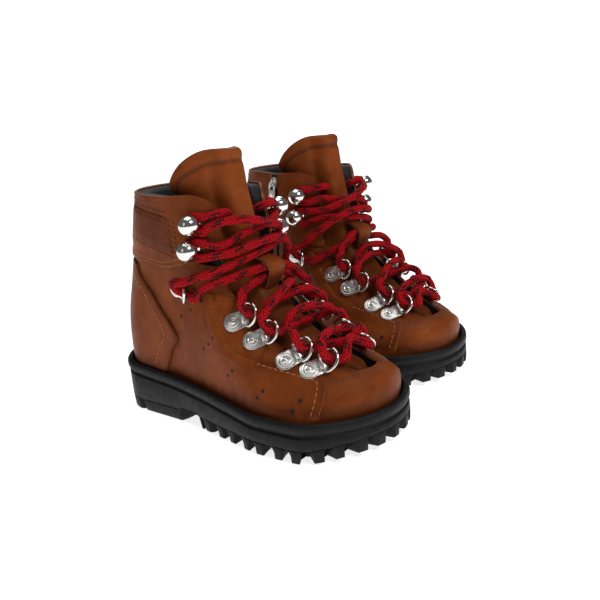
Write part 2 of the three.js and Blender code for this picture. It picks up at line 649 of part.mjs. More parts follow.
// ---------------------------------------------------------------- zip
const zipFrame = (() => {
  const top = surface(zipAt(0.93), 0.93, 0);
  const bottom = surface(zipAt(0.54), 0.54, 0);
  const y = top.clone().sub(bottom).normalize();
  const z = normalAt(zipAt(0.93), 0.93);
  z.addScaledVector(y, -z.dot(y)).normalize();
  return { origin: top, x: y.clone().cross(z), y, z, travel: top.distanceTo(bottom) };
})();
const SLIDER_PROUD = 0.6;
const BAR_HEIGHT = 2.7;
const sliderFrame = { ...zipFrame, origin: along(zipFrame, 0, 0, SLIDER_PROUD) };

function zipTape() {
  const rows = 8;
  const half = gapInU(ZIP.tapeHalf);
  return sheet({
    columns: 2, rows, layer: ZIP.tapeLayer,
    placeAt: (i, j) => {
      const v = mix(ZIP.bottom - 0.03, LINING_TOP, j / rows);
      return [zipAt(v) + half * (i - 1), v];
    },
  });
}
function zipSlider() {
  const { halfWidth, halfLength, bottom, top, archTop, archHalf } = SLIDER;
  return join([
    block(sliderFrame, [-halfWidth, halfWidth], [-halfLength, halfLength], [bottom, top]),
    block(sliderFrame, [-archHalf, archHalf], [1.4, 2.6], [top - 0.2, archTop]),
    block(sliderFrame, [-archHalf, archHalf], [-2.6, -1.4], [top - 0.2, archTop]),
    block(sliderFrame, [-archHalf, archHalf], [-2.6, 2.6], [archTop - 0.8, archTop + 0.1]),
  ]);
}
function zipPull() {
  const { bar, halfWidth, arm, window, length } = PULL;
  const thick = [BAR_HEIGHT - bar, BAR_HEIGHT + bar];
  return join([
    block(sliderFrame, [-halfWidth, halfWidth], [-bar, bar], thick),
    block(sliderFrame, [-halfWidth, -halfWidth + arm], [-window - 0.2, 0], thick),
    block(sliderFrame, [halfWidth - arm, halfWidth], [-window - 0.2, 0], thick),
    block(sliderFrame, [-halfWidth, halfWidth], [-length, -window], thick),
  ]);
}

// ---------------------------------------------------------------- lace
const TURN = 4;                     // the lace's centre from the plane of the D-ring, above and below it
// over the ring's arc, down through it and out underneath
function throughRing(frame, entry) {
  const at = (x, y, z) => along(frame, x, y * entry, z);
  return [at(12, -1.2, TURN + 0.5), at(8.8, -1, TURN + 0.2), at(6.2, -0.7, TURN - 1), at(5.0, 0, 0),
    at(6.2, 0.7, 1 - TURN), at(8.8, 1.4, -TURN), at(12, 2, -TURN)];
}
const HOOK_LACE_HEIGHT = OVERLAY[1] + LACE_RADIUS + GAP;
// under the ball and round the back of its neck
function roundHook(frame, entry) {
  const turn = HOOK.neck + LACE_RADIUS + 1.2;
  const at = (x, y) => along(frame, x, y * entry, HOOK_LACE_HEIGHT + 0.15);
  return [at(5.5, -turn), at(1.5, -turn), at(-2.8, -turn + 1.3), at(-turn, 0), at(-2.8, turn - 1.3),
    at(1.5, turn), at(5.5, turn)];
}

// Crossings from one fitting to the next on the other side, as [u, v, height over the leather].
// u counts from the side that the strand leaves; the first set is for the strand that passes below at the
// crossing.
const CROSSINGS = {
  below: {
    ring5: [[0, 0.25, 6], [-0.025, 0.265, 9]],
    ring4: [[0, 0.34, 6], [-0.03, 0.355, 9]],
    ring3: [[0, 0.44, 6], [-0.03, 0.455, 9.5]],
    ring2: [[0.03, 0.53, 4.6], [-0.04, 0.565, 5.4], [-0.1, 0.59, 8], [-0.135, 0.585, 9.4]],
    ring1: [[0.16, 0.62, 5.6], [0.12, 0.65, 5.4], [0.06, 0.69, 3.6], [0, 0.72, 2.4], [-0.06, 0.745, 3.8],
      [-0.1, 0.76, 5.2]],
    hook2: [[0.09, 0.8, 5.8], [0.05, 0.815, 4.2], [0, 0.83, 2.4], [-0.05, 0.845, 4.2], [-0.09, 0.86, 5.8]],
  },
  above: {
    ring5: [[0, 0.25, 11]],
    ring4: [[0, 0.34, 11]],
    ring3: [[0, 0.44, 10.6]],
    ring2: [[0.03, 0.53, 9.4], [-0.03, 0.56, 10], [-0.1, 0.575, 9.4], [-0.135, 0.575, 9.2]],
    ring1: [[0.16, 0.62, 5.6], [0.12, 0.65, 6], [0.06, 0.69, 7], [0, 0.72, 7.2], [-0.06, 0.745, 6],
      [-0.1, 0.76, 5.4]],
    hook2: [[0.09, 0.8, 6], [0.05, 0.815, 7], [0, 0.83, 7.4], [-0.05, 0.845, 7], [-0.09, 0.86, 6]],
  },
};
// from the top hook across the tongue and down behind the opposite flap
const TUCKED = {
  below: [[0.09, 0.88, 5.8], [0.05, 0.89, 4], [0, 0.9, 2.2], [-0.034, 0.9, 1.9], [-0.05, 0.9, -1.9],
    [-0.062, 0.9, -5.4],
    [-0.074, 0.897, -7.6], [-0.09, 0.895, -7.8], [-0.15, 0.88, -7.8]],
  above: [[0.09, 0.88, 6], [0.05, 0.895, 6.6], [0, 0.905, 6.6], [-0.034, 0.905, 3.6], [-0.05, 0.903, -1.6],
    [-0.062, 0.9, -5.3], [-0.074, 0.897, -7.6], [-0.09, 0.895, -7.8], [-0.15, 0.88, -7.8]],
};

// one half of the lace, from the toe to its tucked end; the two halves cross over each other
function laceHalf(startsMedial) {
  const rings = { true: ringFrames(true).map(ringFrame), false: ringFrames(false).map(ringFrame) };
  const hookAt = { true: hookFrames(true), false: hookFrames(false) };
  const points = [];
  let medial = startsMedial;
  const cross = (stops) => {
    for (const [u, v, height] of stops) points.push(surface(medial ? -u : u, v, height));
    medial = !medial;
  };
  const handed = () => (medial ? -1 : 1);
  const level = (i) => ((startsMedial === (i % 2 === 0)) ? 'above' : 'below');
  for (let i = RING_PLACES.length - 1; i >= 0; i--) {
    points.push(...throughRing(rings[medial][i], handed()));
    cross(CROSSINGS[level(i)][`ring${i + 1}`]);
  }
  points.push(...roundHook(hookAt[medial][1], handed()));
  cross(CROSSINGS[level(1)].hook2);
  points.push(...roundHook(hookAt[medial][0], handed()));
  cross(TUCKED[level(0)]);
  return points;
}
function lace() {
  const start = surface(0, 0.2, 9);
  return sweep([...laceHalf(false).reverse(), start, ...laceHalf(true)], LACE_RADIUS, LACE_SIDES);
}

// ---------------------------------------------------------------- one boot, as [name, geometry, material,
// pivot]
function bootPieces() {
  const { leather, rubber, lining: textile, metal, lace: red } = MATERIALS;
  const lateralRings = ringFrames(false);
  const medialRings = ringFrames(true);
  const pieces = [
    ['outsole', outsole(), rubber],
    ['footbed', footbed(), textile],
    ['vamp', cut(vamp(), [...rivetHoles(lateralRings.slice(1)), ...rivetHoles(medialRings.slice(1))]),
      leather],
    ['lateral_quarter', cut(quarter(false), rivetHoles(lateralRings.slice(0, 1))), leather],
    ['medial_quarter', cut(quarter(true), rivetHoles(medialRings.slice(0, 1))), leather],
    ['heel_counter', heelCounter(), leather],
    ['cuff', cut(cuff(), rivetHoles(hookFrames(false))), leather],
    ['medial_cuff', cut(medialCuff(), rivetHoles(hookFrames(true))), leather],
    ['tongue_lower', tongueLower(), leather],
    ['tongue_upper', tongueUpper(), leather,
      { origin: surface(0, TONGUE_SPLIT, TONGUE_OUTSIDE + TONGUE_BULGE),
        axis: new THREE.Vector3(1, 0, 0) }],
    ['lining', lining(), textile],
    ['pull_loop', pullLoop(), leather],
    ['zip_tape', zipTape(), textile],
    ['zip_slider', zipSlider(), metal, { origin: sliderFrame.origin, axis: zipFrame.y.clone().negate(),
      travel: zipFrame.travel }],
    ['zip_pull', zipPull(), metal, { origin: along(sliderFrame, 0, 0, BAR_HEIGHT),
      axis: zipFrame.x.clone().negate() }],
    ['lateral_clips', clips(false), metal],
    ['medial_clips', clips(true), metal],
    ['lateral_hooks', hooks(false), metal],
    ['medial_hooks', hooks(true), metal],
    ['lace', lace(), red],
  ];
  for (const [side, frames] of [['lateral', lateralRings], ['medial', medialRings]]) {
    frames.forEach((frame, i) => {
      const own = ringFrame(frame);
      pieces.push([`${side}_ring_${i + 1}`, ring(own), metal, { origin: own.origin, axis: own.y }]);
    });
  }
  return pieces;
}

// ---------------------------------------------------------------- the pair
function mirrored(geometry) {
  const copy = geometry.index ? geometry.toNonIndexed() : geometry.clone();
  const position = copy.attributes.position;
  const corners = [];
  for (let i = 0; i < position.count; i += 3) {
    for (const k of [i, i + 2, i + 1]) corners.push(-position.getX(k), position.getY(k), position.getZ(k));
  }
  const out = new THREE.BufferGeometry();
  out.setAttribute('position', new THREE.Float32BufferAttribute(corners, 3));
  return out;
}

const pair = new THREE.Group();
const right = new THREE.Group();
const left = new THREE.Group();
left.position.set(PAIR_SPACING, LEFT_SET_BACK, 0);
left.rotation.z = THREE.MathUtils.degToRad(LEFT_TOE_IN);
for (const [name, geometry, look, pivot] of bootPieces()) {
  const rightPiece = new THREE.Mesh(geometry, look);
  rightPiece.name = `right_${name}`;
  const leftPiece = new THREE.Mesh(mirrored(geometry), look);
  leftPiece.name = `left_${name}`;
  if (pivot) {
    rightPiece.userData.pivot = pivot;
    const flip = (p) => new THREE.Vector3(-p.x, p.y, p.z);
    leftPiece.userData.pivot = { ...pivot, origin: flip(pivot.origin), axis: flip(pivot.axis) };
  }
  right.add(rightPiece);
  left.add(leftPiece);
}
pair.add(right, left);
pair.updateMatrixWorld(true);
const bounds = new THREE.Box3().setFromObject(pair, true);
pair.position.set(-(bounds.min.x + bounds.max.x) / 2, -(bounds.min.y + bounds.max.y) / 2, -bounds.min.z);

export default pair;
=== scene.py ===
"""The looks of a pair of child's lace-up hiking boots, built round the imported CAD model.

Each boot is built once, in millimetres, as the right one with its lateral side towards -X, and the
left one is its mirror image. The upper is one surface in (u, v): u runs once round the boot from the
front centre over the lateral side, the heel at 0.5 and the medial side, and v runs from the sole at 0
to the collar at 1.
"""

import math

import bmesh
import bpy
import numpy as np
from mathutils import Matrix, Vector


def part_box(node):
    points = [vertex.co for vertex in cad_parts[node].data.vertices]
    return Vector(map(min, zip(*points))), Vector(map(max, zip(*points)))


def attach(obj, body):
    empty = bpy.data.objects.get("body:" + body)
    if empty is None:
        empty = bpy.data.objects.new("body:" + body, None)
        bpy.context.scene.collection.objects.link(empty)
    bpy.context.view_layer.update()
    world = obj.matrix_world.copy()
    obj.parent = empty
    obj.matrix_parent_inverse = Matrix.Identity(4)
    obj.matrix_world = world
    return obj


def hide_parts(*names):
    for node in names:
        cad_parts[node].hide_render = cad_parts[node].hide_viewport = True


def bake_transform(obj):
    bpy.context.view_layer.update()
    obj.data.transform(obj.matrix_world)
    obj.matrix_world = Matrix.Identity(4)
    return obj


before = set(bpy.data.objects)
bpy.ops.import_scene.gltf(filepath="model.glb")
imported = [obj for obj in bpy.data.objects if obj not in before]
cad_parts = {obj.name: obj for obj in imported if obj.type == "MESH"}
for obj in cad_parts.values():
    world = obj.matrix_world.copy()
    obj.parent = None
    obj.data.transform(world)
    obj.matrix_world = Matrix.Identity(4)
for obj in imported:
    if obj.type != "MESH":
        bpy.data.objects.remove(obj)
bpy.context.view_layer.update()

# ---------------------------------------------------------------- dimensions
# as in the CAD part, but for the hook balls, which are larger here
SOLE_LENGTH = 185
TOE_Y = -SOLE_LENGTH / 2
HEEL_Y = SOLE_LENGTH / 2
TOE_ROUNDING = 30
HEEL_ROUNDING = 26
SOLE_MARGIN = 4.5
FOREFOOT_HEIGHT = 21
HEEL_HEIGHT = 31
HEEL_RISE_FROM = -37
UPPER_SINKS = 4
COLLAR_HEIGHT = 131
TONGUE_RISE = 19
PAIR_SPACING = 103.2
LEFT_SET_BACK = 16.4
LEFT_TOE_IN = -3.8
TONGUE_INSIDE = -10.5
TONGUE_OUTSIDE = -5.8
TONGUE_BULGE = 4.8
TONGUE_POCKET = 5
TONGUE_SPLIT = 0.94
# (y, z) down the middle of the upper, in front and behind
FRONT_PROFILE = [(-88, 17), (-89.5, 23.5), (-89.2, 30), (-86.5, 35.5), (-80, 39), (-71, 41.5), (-62, 44.5),
                 (-53, 49), (-44, 54), (-35.5, 60.5), (-27.5, 68), (-21, 76), (-16.6, 85), (-14.1, 95),
                 (-12, 106), (-10, 118), (-7.5, 130)]
BACK_PROFILE = [(88, 27), (88.5, 36), (87.5, 48), (85.5, 60), (82.5, 72), (78.5, 84), (74, 96), (69, 108),
                (64, 120), (59.5, 131)]
# (y, half width) of the foot on each side, and (z, half width) of the shaft
LATERAL_WIDTH = [(-90, 33), (-60, 37.5), (-40, 37.2), (-15, 34), (10, 30.5), (35, 28.6), (60, 28.8), (90, 28)]
MEDIAL_WIDTH = [(-90, 31), (-60, 35.5), (-45, 34.5), (-20, 30.5), (5, 26.8), (35, 26.5), (60, 27.5), (90, 27)]
SHAFT_WIDTH = [(20, 30), (45, 29), (60, 27.5), (75, 26.5), (90, 26.8), (110, 28.3), (131, 30)]
TOE_SWING = 4
INSTEP_ROUNDING = 30
BACK_ROUNDING = 27

# lines on the upper, as (v, u)
THROAT = [(0.17, 0.045), (0.23, 0.07), (0.3, 0.082), (0.38, 0.094), (0.47, 0.104), (0.57, 0.11),
          (0.67, 0.108), (0.78, 0.096), (0.88, 0.088), (1, 0.086)]
VAMP_SEAM = [(0, 0.113), (0.125, 0.113), (0.16, 0.128), (0.233, 0.15), (0.275, 0.167), (0.317, 0.183),
             (0.467, 0.175), (0.6, 0.166)]
ZIP_LINE = [(0, 0.76), (0.3, 0.75), (0.475, 0.721), (0.675, 0.75), (0.842, 0.767), (0.985, 0.781)]
COUNTER_EDGE = [(0, 0.333), (0.142, 0.312), (0.267, 0.287), (0.45, 0.312), (0.6, 0.358), (0.72, 0.37)]
TONGUE_HALF = [(0.19, 0.05), (0.25, 0.11), (0.36, 0.14), (0.55, 0.16), (0.8, 0.2), (1, 0.25)]
THROAT_START = 0.17
VAMP_TOP = 0.6
QUARTER_TOP = 0.72
ZIP_BOTTOM = 0.45
# rivets, as (u, v)
RING_PLACES = [(0.245, 0.57), (0.142, 0.474), (0.13, 0.386), (0.114, 0.27), (0.109, 0.19)]
MEDIAL_TOP_RING = (0.215, 0.552)
HOOK_PLACES = [(0.146, 0.875), (0.158, 0.783)]
RIVET_TO_BAR = 6.8
BAR_HEIGHT = 2.6
RING_TILT = 32
HOOK_BALL = 5.4
HOOK_BALL_HEIGHT = 10.3
HOOK_NECK = 1.5
OVERLAY_TOP = 2.0
LACE_RADIUS = 2.2
PERIMETER = 215                     # round the shaft, to turn a width into a step of u


# ---------------------------------------------------------------- small maths
def smooth(x, low, high):
    t = np.clip((x - low) / (high - low), 0, 1)
    return t * t * (3 - 2 * t)


def rounding(s):
    return np.sqrt(np.maximum(1 - (1 - np.clip(s, 0, 1)) ** 2, 0))


def table(rows, x):
    """A smooth curve through the rows, without overshoot."""
    xs, ys = np.array(rows, float).T
    rise = np.diff(ys) / np.diff(xs)
    slope = np.r_[rise[0], np.zeros(len(rise) - 1), rise[-1]]
    same = rise[:-1] * rise[1:] > 0
    slope[1:-1][same] = 2 * (rise[:-1] * rise[1:])[same] / (rise[:-1] + rise[1:])[same]
    x = np.clip(np.asarray(x, float), xs[0], xs[-1])
    k = np.clip(np.searchsorted(xs, x) - 1, 0, len(rise) - 1)
    h = xs[k + 1] - xs[k]
    t = (x - xs[k]) / h
    return ((1 + 2 * t) * (1 - t) ** 2 * ys[k] + t * (1 - t) ** 2 * h * slope[k]
            + t * t * (3 - 2 * t) * ys[k + 1] + t * t * (t - 1) * h * slope[k + 1])


def catmull(points, per_span, closed=False):
    """A smooth curve through points of any dimension."""
    p = np.array(points, float)
    n = len(p)
    out = []
    for i in range(n if closed else n - 1):
        if closed:
            a, b, c, d = (p[(i + k) % n] for k in (-1, 0, 1, 2))
        else:
            a, b, c, d = (p[min(max(i + k, 0), n - 1)] for k in (-1, 0, 1, 2))
        t = np.linspace(0, 1, per_span, endpoint=False)[:, None]
        v0, v1 = (c - a) / 2, (d - b) / 2
        out.append((2 * b - 2 * c + v0 + v1) * t ** 3 + (-3 * b + 3 * c - 2 * v0 - v1) * t ** 2 + v0 * t + b)
    if not closed:
        out.append(p[-1:])
    return np.vstack(out)


def along_length(points, step=None, count=None):
    """The same line with evenly spaced points, and the distance along it."""
    p = np.array(points, float)
    run = np.r_[0, np.cumsum(np.linalg.norm(np.diff(p, axis=0), axis=1))]
    if count is None:
        count = max(2, int(round(run[-1] / step)) + 1)
    s = np.linspace(0, run[-1], count)
    return np.stack([np.interp(s, run, p[:, k]) for k in range(p.shape[1])], 1), s


# ---------------------------------------------------------------- the surface of the upper
PROFILE_STEPS = 200
FRONT = along_length(catmull(FRONT_PROFILE, 60), count=PROFILE_STEPS + 1)[0]
BACK = along_length(catmull(BACK_PROFILE, 60), count=PROFILE_STEPS + 1)[0]


def on_profile(points, v):
    k = np.clip(v, 0, 1) * PROFILE_STEPS
    at = np.arange(PROFILE_STEPS + 1)
    return np.interp(k, at, points[:, 0]), np.interp(k, at, points[:, 1])


def distance_to(points, y, z):
    near = np.argmin((points[:, 0] - y[:, None]) ** 2 + (points[:, 1] - z[:, None]) ** 2, axis=1)
    best = np.full(len(y), 1e9)
    for first in (np.maximum(near - 1, 0), np.minimum(near, PROFILE_STEPS - 1)):
        a, b = points[first], points[first + 1]
        d = b - a
        t = np.clip(((y - a[:, 0]) * d[:, 0] + (z - a[:, 1]) * d[:, 1]) / (d ** 2).sum(1), 0, 1)
        best = np.minimum(best, np.hypot(y - a[:, 0] - t * d[:, 0], z - a[:, 1] - t * d[:, 1]))
    return best


def welt_height(y):
    return FOREFOOT_HEIGHT + (HEEL_HEIGHT - FOREFOOT_HEIGHT) * np.clip((y - HEEL_RISE_FROM) / 125, 0, 1)


def centre_line(y):
    return TOE_SWING * smooth(-y, 30, 90)


def base_surface(u, v):
    angle = 2 * np.pi * u
    s = (1 - np.cos(angle)) / 2
    side = np.where(np.sin(angle) >= 0, -1.0, 1.0)
    front_y, front_z = on_profile(FRONT, v)
    back_y, back_z = on_profile(BACK, v)
    y = front_y + (back_y - front_y) * s
    straight = FRONT[0, 1] + (BACK[0, 1] - FRONT[0, 1]) * s
    sag = (welt_height(y) - UPPER_SINKS - straight) * (1 - smooth(v, 0, 0.45)) * np.sqrt(np.sin(np.pi * s))
    z = front_z + (back_z - front_z) * s + sag
    foot = np.where(side < 0, table(LATERAL_WIDTH, y), table(MEDIAL_WIDTH, y))
    in_shaft = smooth(z, 38, 88)
    width = foot + (table(SHAFT_WIDTH, z) - foot) * in_shaft
    nose = rounding(distance_to(FRONT, y, z) / INSTEP_ROUNDING) * rounding(distance_to(BACK, y, z)
                                                                           / BACK_ROUNDING)
    return np.stack([centre_line(y) * (1 - in_shaft) + side * width * nose, y, z], 1)


def unit(a):
    return a / np.maximum(np.linalg.norm(a, axis=-1, keepdims=True), 1e-12)


def normal_at(u, v):
    step = 2e-3
    around = base_surface(u + step, v) - base_surface(u - step, v)
    up = base_surface(u, np.clip(v + step, 0, 1)) - base_surface(u, np.clip(v - step, 0, 1))
    return unit(np.cross(up, around))


def surface(u, v, offset=0.0):
    """Points on the upper, moved out by offset; above the collar the surface goes on straight up."""
    u, v, offset = (a.astype(float) for a in np.broadcast_arrays(u, v, offset))
    shape = u.shape
    u, v, offset = u.ravel(), v.ravel(), offset.ravel()
    inside = np.clip(v, 0, 1)
    above = np.maximum(v - 1, 0) * COLLAR_HEIGHT
    p = base_surface(u, inside) + normal_at(u, inside) * offset[:, None]
    p[:, 1] += above * 0.1
    p[:, 2] += above
    return p.reshape(*shape, 3)


def in_u(width):
    return width / PERIMETER


def throat_at(v):
    return table(THROAT, v)


def seam_at(v):
    return table(VAMP_SEAM, v)


def zip_at(v):
    return table(ZIP_LINE, v)


# ---------------------------------------------------------------- where the two boots stand
def outline(inset, count=64):
    """The sole's outline at an inset, as two arrays of points from toe to heel: lateral and medial."""
    low, high = TOE_Y + inset, HEEL_Y - inset
    y = low + (high - low) * (1 - np.cos(np.linspace(0, np.pi, count))) / 2
    ends = rounding((y - low) / (TOE_ROUNDING - inset)) * rounding((high - y) / (HEEL_ROUNDING - inset))
    lateral = centre_line(y) - (table(LATERAL_WIDTH, y) + SOLE_MARGIN - inset) * ends
    medial = centre_line(y) + (table(MEDIAL_WIDTH, y) + SOLE_MARGIN - inset) * ends
    return np.stack([lateral, y], 1), np.stack([medial, y], 1)


sole_low, sole_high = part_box("right_outsole")
OFFSET = np.array([sole_low.x * 1000 - outline(-0.3, 400)[0][:, 0].min(), (sole_low.y + sole_high.y) * 500,
                   0])
TURN = math.radians(LEFT_TOE_IN)
TURNED = np.array([[math.cos(TURN), math.sin(TURN), 0], [-math.sin(TURN), math.cos(TURN), 0], [0, 0, 1]])


def to_pair(points, side):
    """From the boot's own frame in millimetres to the row frame in metres."""
    p = np.array(points, float).reshape(-1, 3)
    if side == "left":
        p = (p * [-1, 1, 1]) @ TURNED + [PAIR_SPACING, LEFT_SET_BACK, 0]
    return (p + OFFSET) / 1000


# ---------------------------------------------------------------- meshes
class Shape:
    """Vertices and faces in the boot's frame, a material index for each face, a painted shade value for each
    vertex.
    """

    def __init__(self, points=(), faces=(), looks=None, shade=None, coords=None):
        self.points = np.array(points, float).reshape(-1, 3)
        self.faces = [tuple(f) for f in faces]
        self.looks = list(looks) if looks is not None else [0] * len(self.faces)
        self.shade = np.zeros(len(self.points)) if shade is None else np.asarray(shade, float).ravel()
        self.coords = np.zeros((len(self.points), 3)) if coords is None else np.asarray(coords, float)


def merged(shapes):
    total = Shape()
    parts = list(shapes)
    starts = np.cumsum([0] + [len(s.points) for s in parts])
    total.points = np.vstack([s.points for s in parts])
    total.faces = [tuple(i + int(n) for i in f) for s, n in zip(parts, starts) for f in s.faces]
    total.looks = [x for s in parts for x in s.looks]
    total.shade = np.concatenate([s.shade for s in parts])
    total.coords = np.vstack([s.coords for s in parts])
    return total


def beveled(shape, width, angle=50, segments=2):
    """Rounds the edges that are sharper than angle."""
    bm = bmesh.new()
    shade = bm.verts.layers.float.new("shade")
    verts = [bm.verts.new(p) for p in shape.points]
    for v, s in zip(verts, shape.shade):
        v[shade] = s
    for f, look in zip(shape.faces, shape.looks):
        face = bm.faces.new([verts[i] for i in f])
        face.material_index = look
    bm.normal_update()
    sharp = [e for e in bm.edges if len(e.link_faces) == 2 and e.calc_face_angle(0) > math.radians(angle)]
    bmesh.ops.bevel(bm, geom=sharp, offset=width, segments=segments, profile=0.5, affect="EDGES",
                    clamp_overlap=True)
    bm.verts.index_update()
    out = Shape([v.co for v in bm.verts], [[v.index for v in f.verts] for f in bm.faces],
                [f.material_index for f in bm.faces], [v[shade] for v in bm.verts])
    bm.free()
    return out


def facing_out(shape):
    bm = bmesh.new()
    verts = [bm.verts.new(p) for p in shape.points]
    for f in shape.faces:
        bm.faces.new([verts[i] for i in f])
    bm.normal_update()
    volume = bm.calc_volume(signed=True)
    bm.free()
    if volume < 0:
        shape.faces = [f[::-1] for f in shape.faces]
    return shape


def piece(name, shape, materials, body="boot", nodes=(), bend=None, after=None):
    """The right and the left copy of a shape, each riding on its own boot's body, unless bend is given, when
    it is baked in place and attached to no body.
    """
    made = []
    for side in ("right", "left"):
        mesh = bpy.data.meshes.new(f"{side}_{name}")
        faces = shape.faces if side == "right" else [f[::-1] for f in shape.faces]
        mesh.from_pydata([tuple(p) for p in to_pair(shape.points, side)], [], faces)
        for m in materials:
            mesh.materials.append(m)
        mesh.polygons.foreach_set("material_index", shape.looks)
        mesh.polygons.foreach_set("use_smooth", [True] * len(faces))
        shade = mesh.attributes.new("shade", "FLOAT", "POINT")
        shade.data.foreach_set("value", shape.shade.astype(np.float32))
        if shape.coords.any():
            coords = mesh.attributes.new("run", "FLOAT_VECTOR", "POINT")
            coords.data.foreach_set("vector", shape.coords.astype(np.float32).ravel())
        mesh.update()
        mesh.validate()
        obj = bpy.data.objects.new(f"{side}_{name}", mesh)
        bpy.context.scene.collection.objects.link(obj)
        if bend:
            start, end = (to_pair([p], side)[0] for p in bend)
            tuple(start)
            tuple(end)
            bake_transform(obj)
        else:
            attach(obj, f"{side}_{body}")
        if nodes:
            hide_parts(*[f"{side}_{n}" for n in nodes])
        if after:
            after(obj, side)
        made.append(obj)
    return made


# ---------------------------------------------------------------- materials
class Look:
    """A node material on one Principled shader."""

    def __init__(self, name, **sockets):
        self.material = bpy.data.materials.new(name)
        self.material.use_nodes = True
        self.tree = self.material.node_tree
        self.tree.nodes.clear()
        self.shader = self.tree.nodes.new("ShaderNodeBsdfPrincipled")
        out = self.tree.nodes.new("ShaderNodeOutputMaterial")
        self.tree.links.new(self.shader.outputs[0], out.inputs["Surface"])
        for key, value in sockets.items():
            self.shader.inputs[key.replace("_", " ")].default_value = value

    def node(self, kind, inputs=None, **settings):
        node = self.tree.nodes.new("ShaderNode" + kind)
        for key, value in settings.items():
            setattr(node, key, value)
        for key, value in (inputs or {}).items():
            self.put(node.inputs[key], value)
        return node

    def put(self, socket, value):
        if isinstance(value, bpy.types.NodeSocket):
            self.tree.links.new(value, socket)
        else:
            socket.default_value = value

    def where(self):
        return self.node("TexCoord").outputs["Object"]

    def noise(self, scale, detail=3.0, rough=0.55, vector=None, distortion=0.0):
        return self.node("TexNoise", {"Vector": vector or self.where(), "Scale": scale, "Detail": detail,
                                      "Roughness": rough, "Distortion": distortion}).outputs["Fac"]

    def cells(self, scale, vector=None, feature="F1"):
        return self.node("TexVoronoi", {"Vector": vector or self.where(), "Scale": scale},
                         feature=feature).outputs["Distance"]

    def attribute(self, name, output="Fac"):
        return self.node("Attribute", attribute_name=name).outputs[output]

    def maths(self, operation, a, b=0.0, c=None, clamp=False):
        inputs = {0: a, 1: b}
        if c is not None:
            inputs[2] = c
        return self.node("Math", inputs, operation=operation, use_clamp=clamp).outputs[0]

    def spread(self, value, from_low, from_high, to_low=0.0, to_high=1.0):
        return self.node("MapRange", {"Value": value, "From Min": from_low, "From Max": from_high,
                                      "To Min": to_low,
                                      "To Max": to_high}).outputs[0]

    def ramp(self, value, *stops):
        node = self.node("ValToRGB", {"Fac": value})
        while len(node.color_ramp.elements) < len(stops):
            node.color_ramp.elements.new(0.5)
        for element, (at, color) in zip(node.color_ramp.elements, stops):
            element.position = at
            element.color = (*color, 1)
        return node.outputs["Color"]

    def blend(self, share, a, b, kind="MIX"):
        node = self.node("Mix", data_type="RGBA", blend_type=kind)
        self.put(node.inputs["Factor"], share)
        for socket, value in ((node.inputs[6], a), (node.inputs[7], b)):
            self.put(socket, (*value, 1) if isinstance(value, tuple) else value)
        return node.outputs[2]

    def bump(self, height, depth, strength=1.0, normal=None):
        inputs = {"Height": height, "Distance": depth, "Strength": strength}
        if normal:
            inputs["Normal"] = normal
        return self.node("Bump", inputs).outputs[0]

    def set(self, **sockets):
        for key, value in sockets.items():
            self.put(self.shader.inputs[key.replace("_", " ")], value)
        return self.material


def leather_look(name, tint=(1.0, 1.0, 1.0), worn=0.0):
    look = Look(name, IOR=1.45, Specular_IOR_Level=0.08)
    tone = look.noise(28, 3, 0.6)
    patch = look.noise(130, 4, 0.65, distortion=0.4)
    mixed = look.maths("ADD", look.maths("MULTIPLY", tone, 0.65), look.maths("MULTIPLY", patch, 0.35))
    color = look.ramp(mixed, (0.3, (0.13 * tint[0], 0.03 * tint[1], 0.008 * tint[2])),
                      (0.5, (0.215 * tint[0], 0.052 * tint[1], 0.0125 * tint[2])),
                      (0.7, (0.3 * tint[0], 0.08 * tint[1], 0.019 * tint[2])))
    # painted shade: the leather darkens towards panel edges, seams and the sole line, following the shade
    # values on the mesh, broken up by noise
    shade = look.attribute("shade")
    painted_edge_shade = look.maths("MULTIPLY", shade, look.spread(look.noise(180, 3), 0.3, 0.7, 0.55, 1.1), clamp=True)
    color = look.blend(painted_edge_shade, color, (0.05, 0.0125, 0.0045))
    pores = look.cells(1500)
    color = look.blend(look.spread(pores, 0.0, 0.25, 0.22, 0.0), color, (0.045, 0.014, 0.006))
    grain = look.maths("ADD", look.maths("MULTIPLY", look.cells(1100), 0.6), look.maths("MULTIPLY",
                                                                                        look.noise(900, 3),
                                                                                        0.6))
    fold = look.noise(95, 4, 0.6, distortion=1.2)
    normal = look.bump(fold, 0.0006, 0.35)
    normal = look.bump(grain, 0.00016, 0.45, normal)
    rough = look.spread(look.noise(240, 4), 0.3, 0.7, 0.36 + worn, 0.5 + worn)
    return look.set(Base_Color=color, Roughness=rough, Normal=normal)


def edge_look():
    look = Look("cut_leather_edge", Roughness=0.72)
    fibre = look.noise(2600, 3, 0.7)
    color = look.ramp(fibre, (0.3, (0.17, 0.062, 0.022)), (0.7, (0.36, 0.15, 0.058)))
    return look.set(Base_Color=color, Normal=look.bump(fibre, 0.0001, 0.5))


def rubber_look():
    look = Look("moulded_rubber", IOR=1.4, Specular_IOR_Level=0.3)
    dust = look.noise(70, 4, 0.6)
    color = look.ramp(dust, (0.35, (0.0045, 0.0045, 0.005)), (0.7, (0.009, 0.009, 0.0095)))
    pebble = look.noise(1900, 3, 0.6)
    rough = look.spread(look.noise(330, 3), 0.3, 0.7, 0.5, 0.66)
    return look.set(Base_Color=color, Roughness=rough, Normal=look.bump(pebble, 0.00012, 0.4))


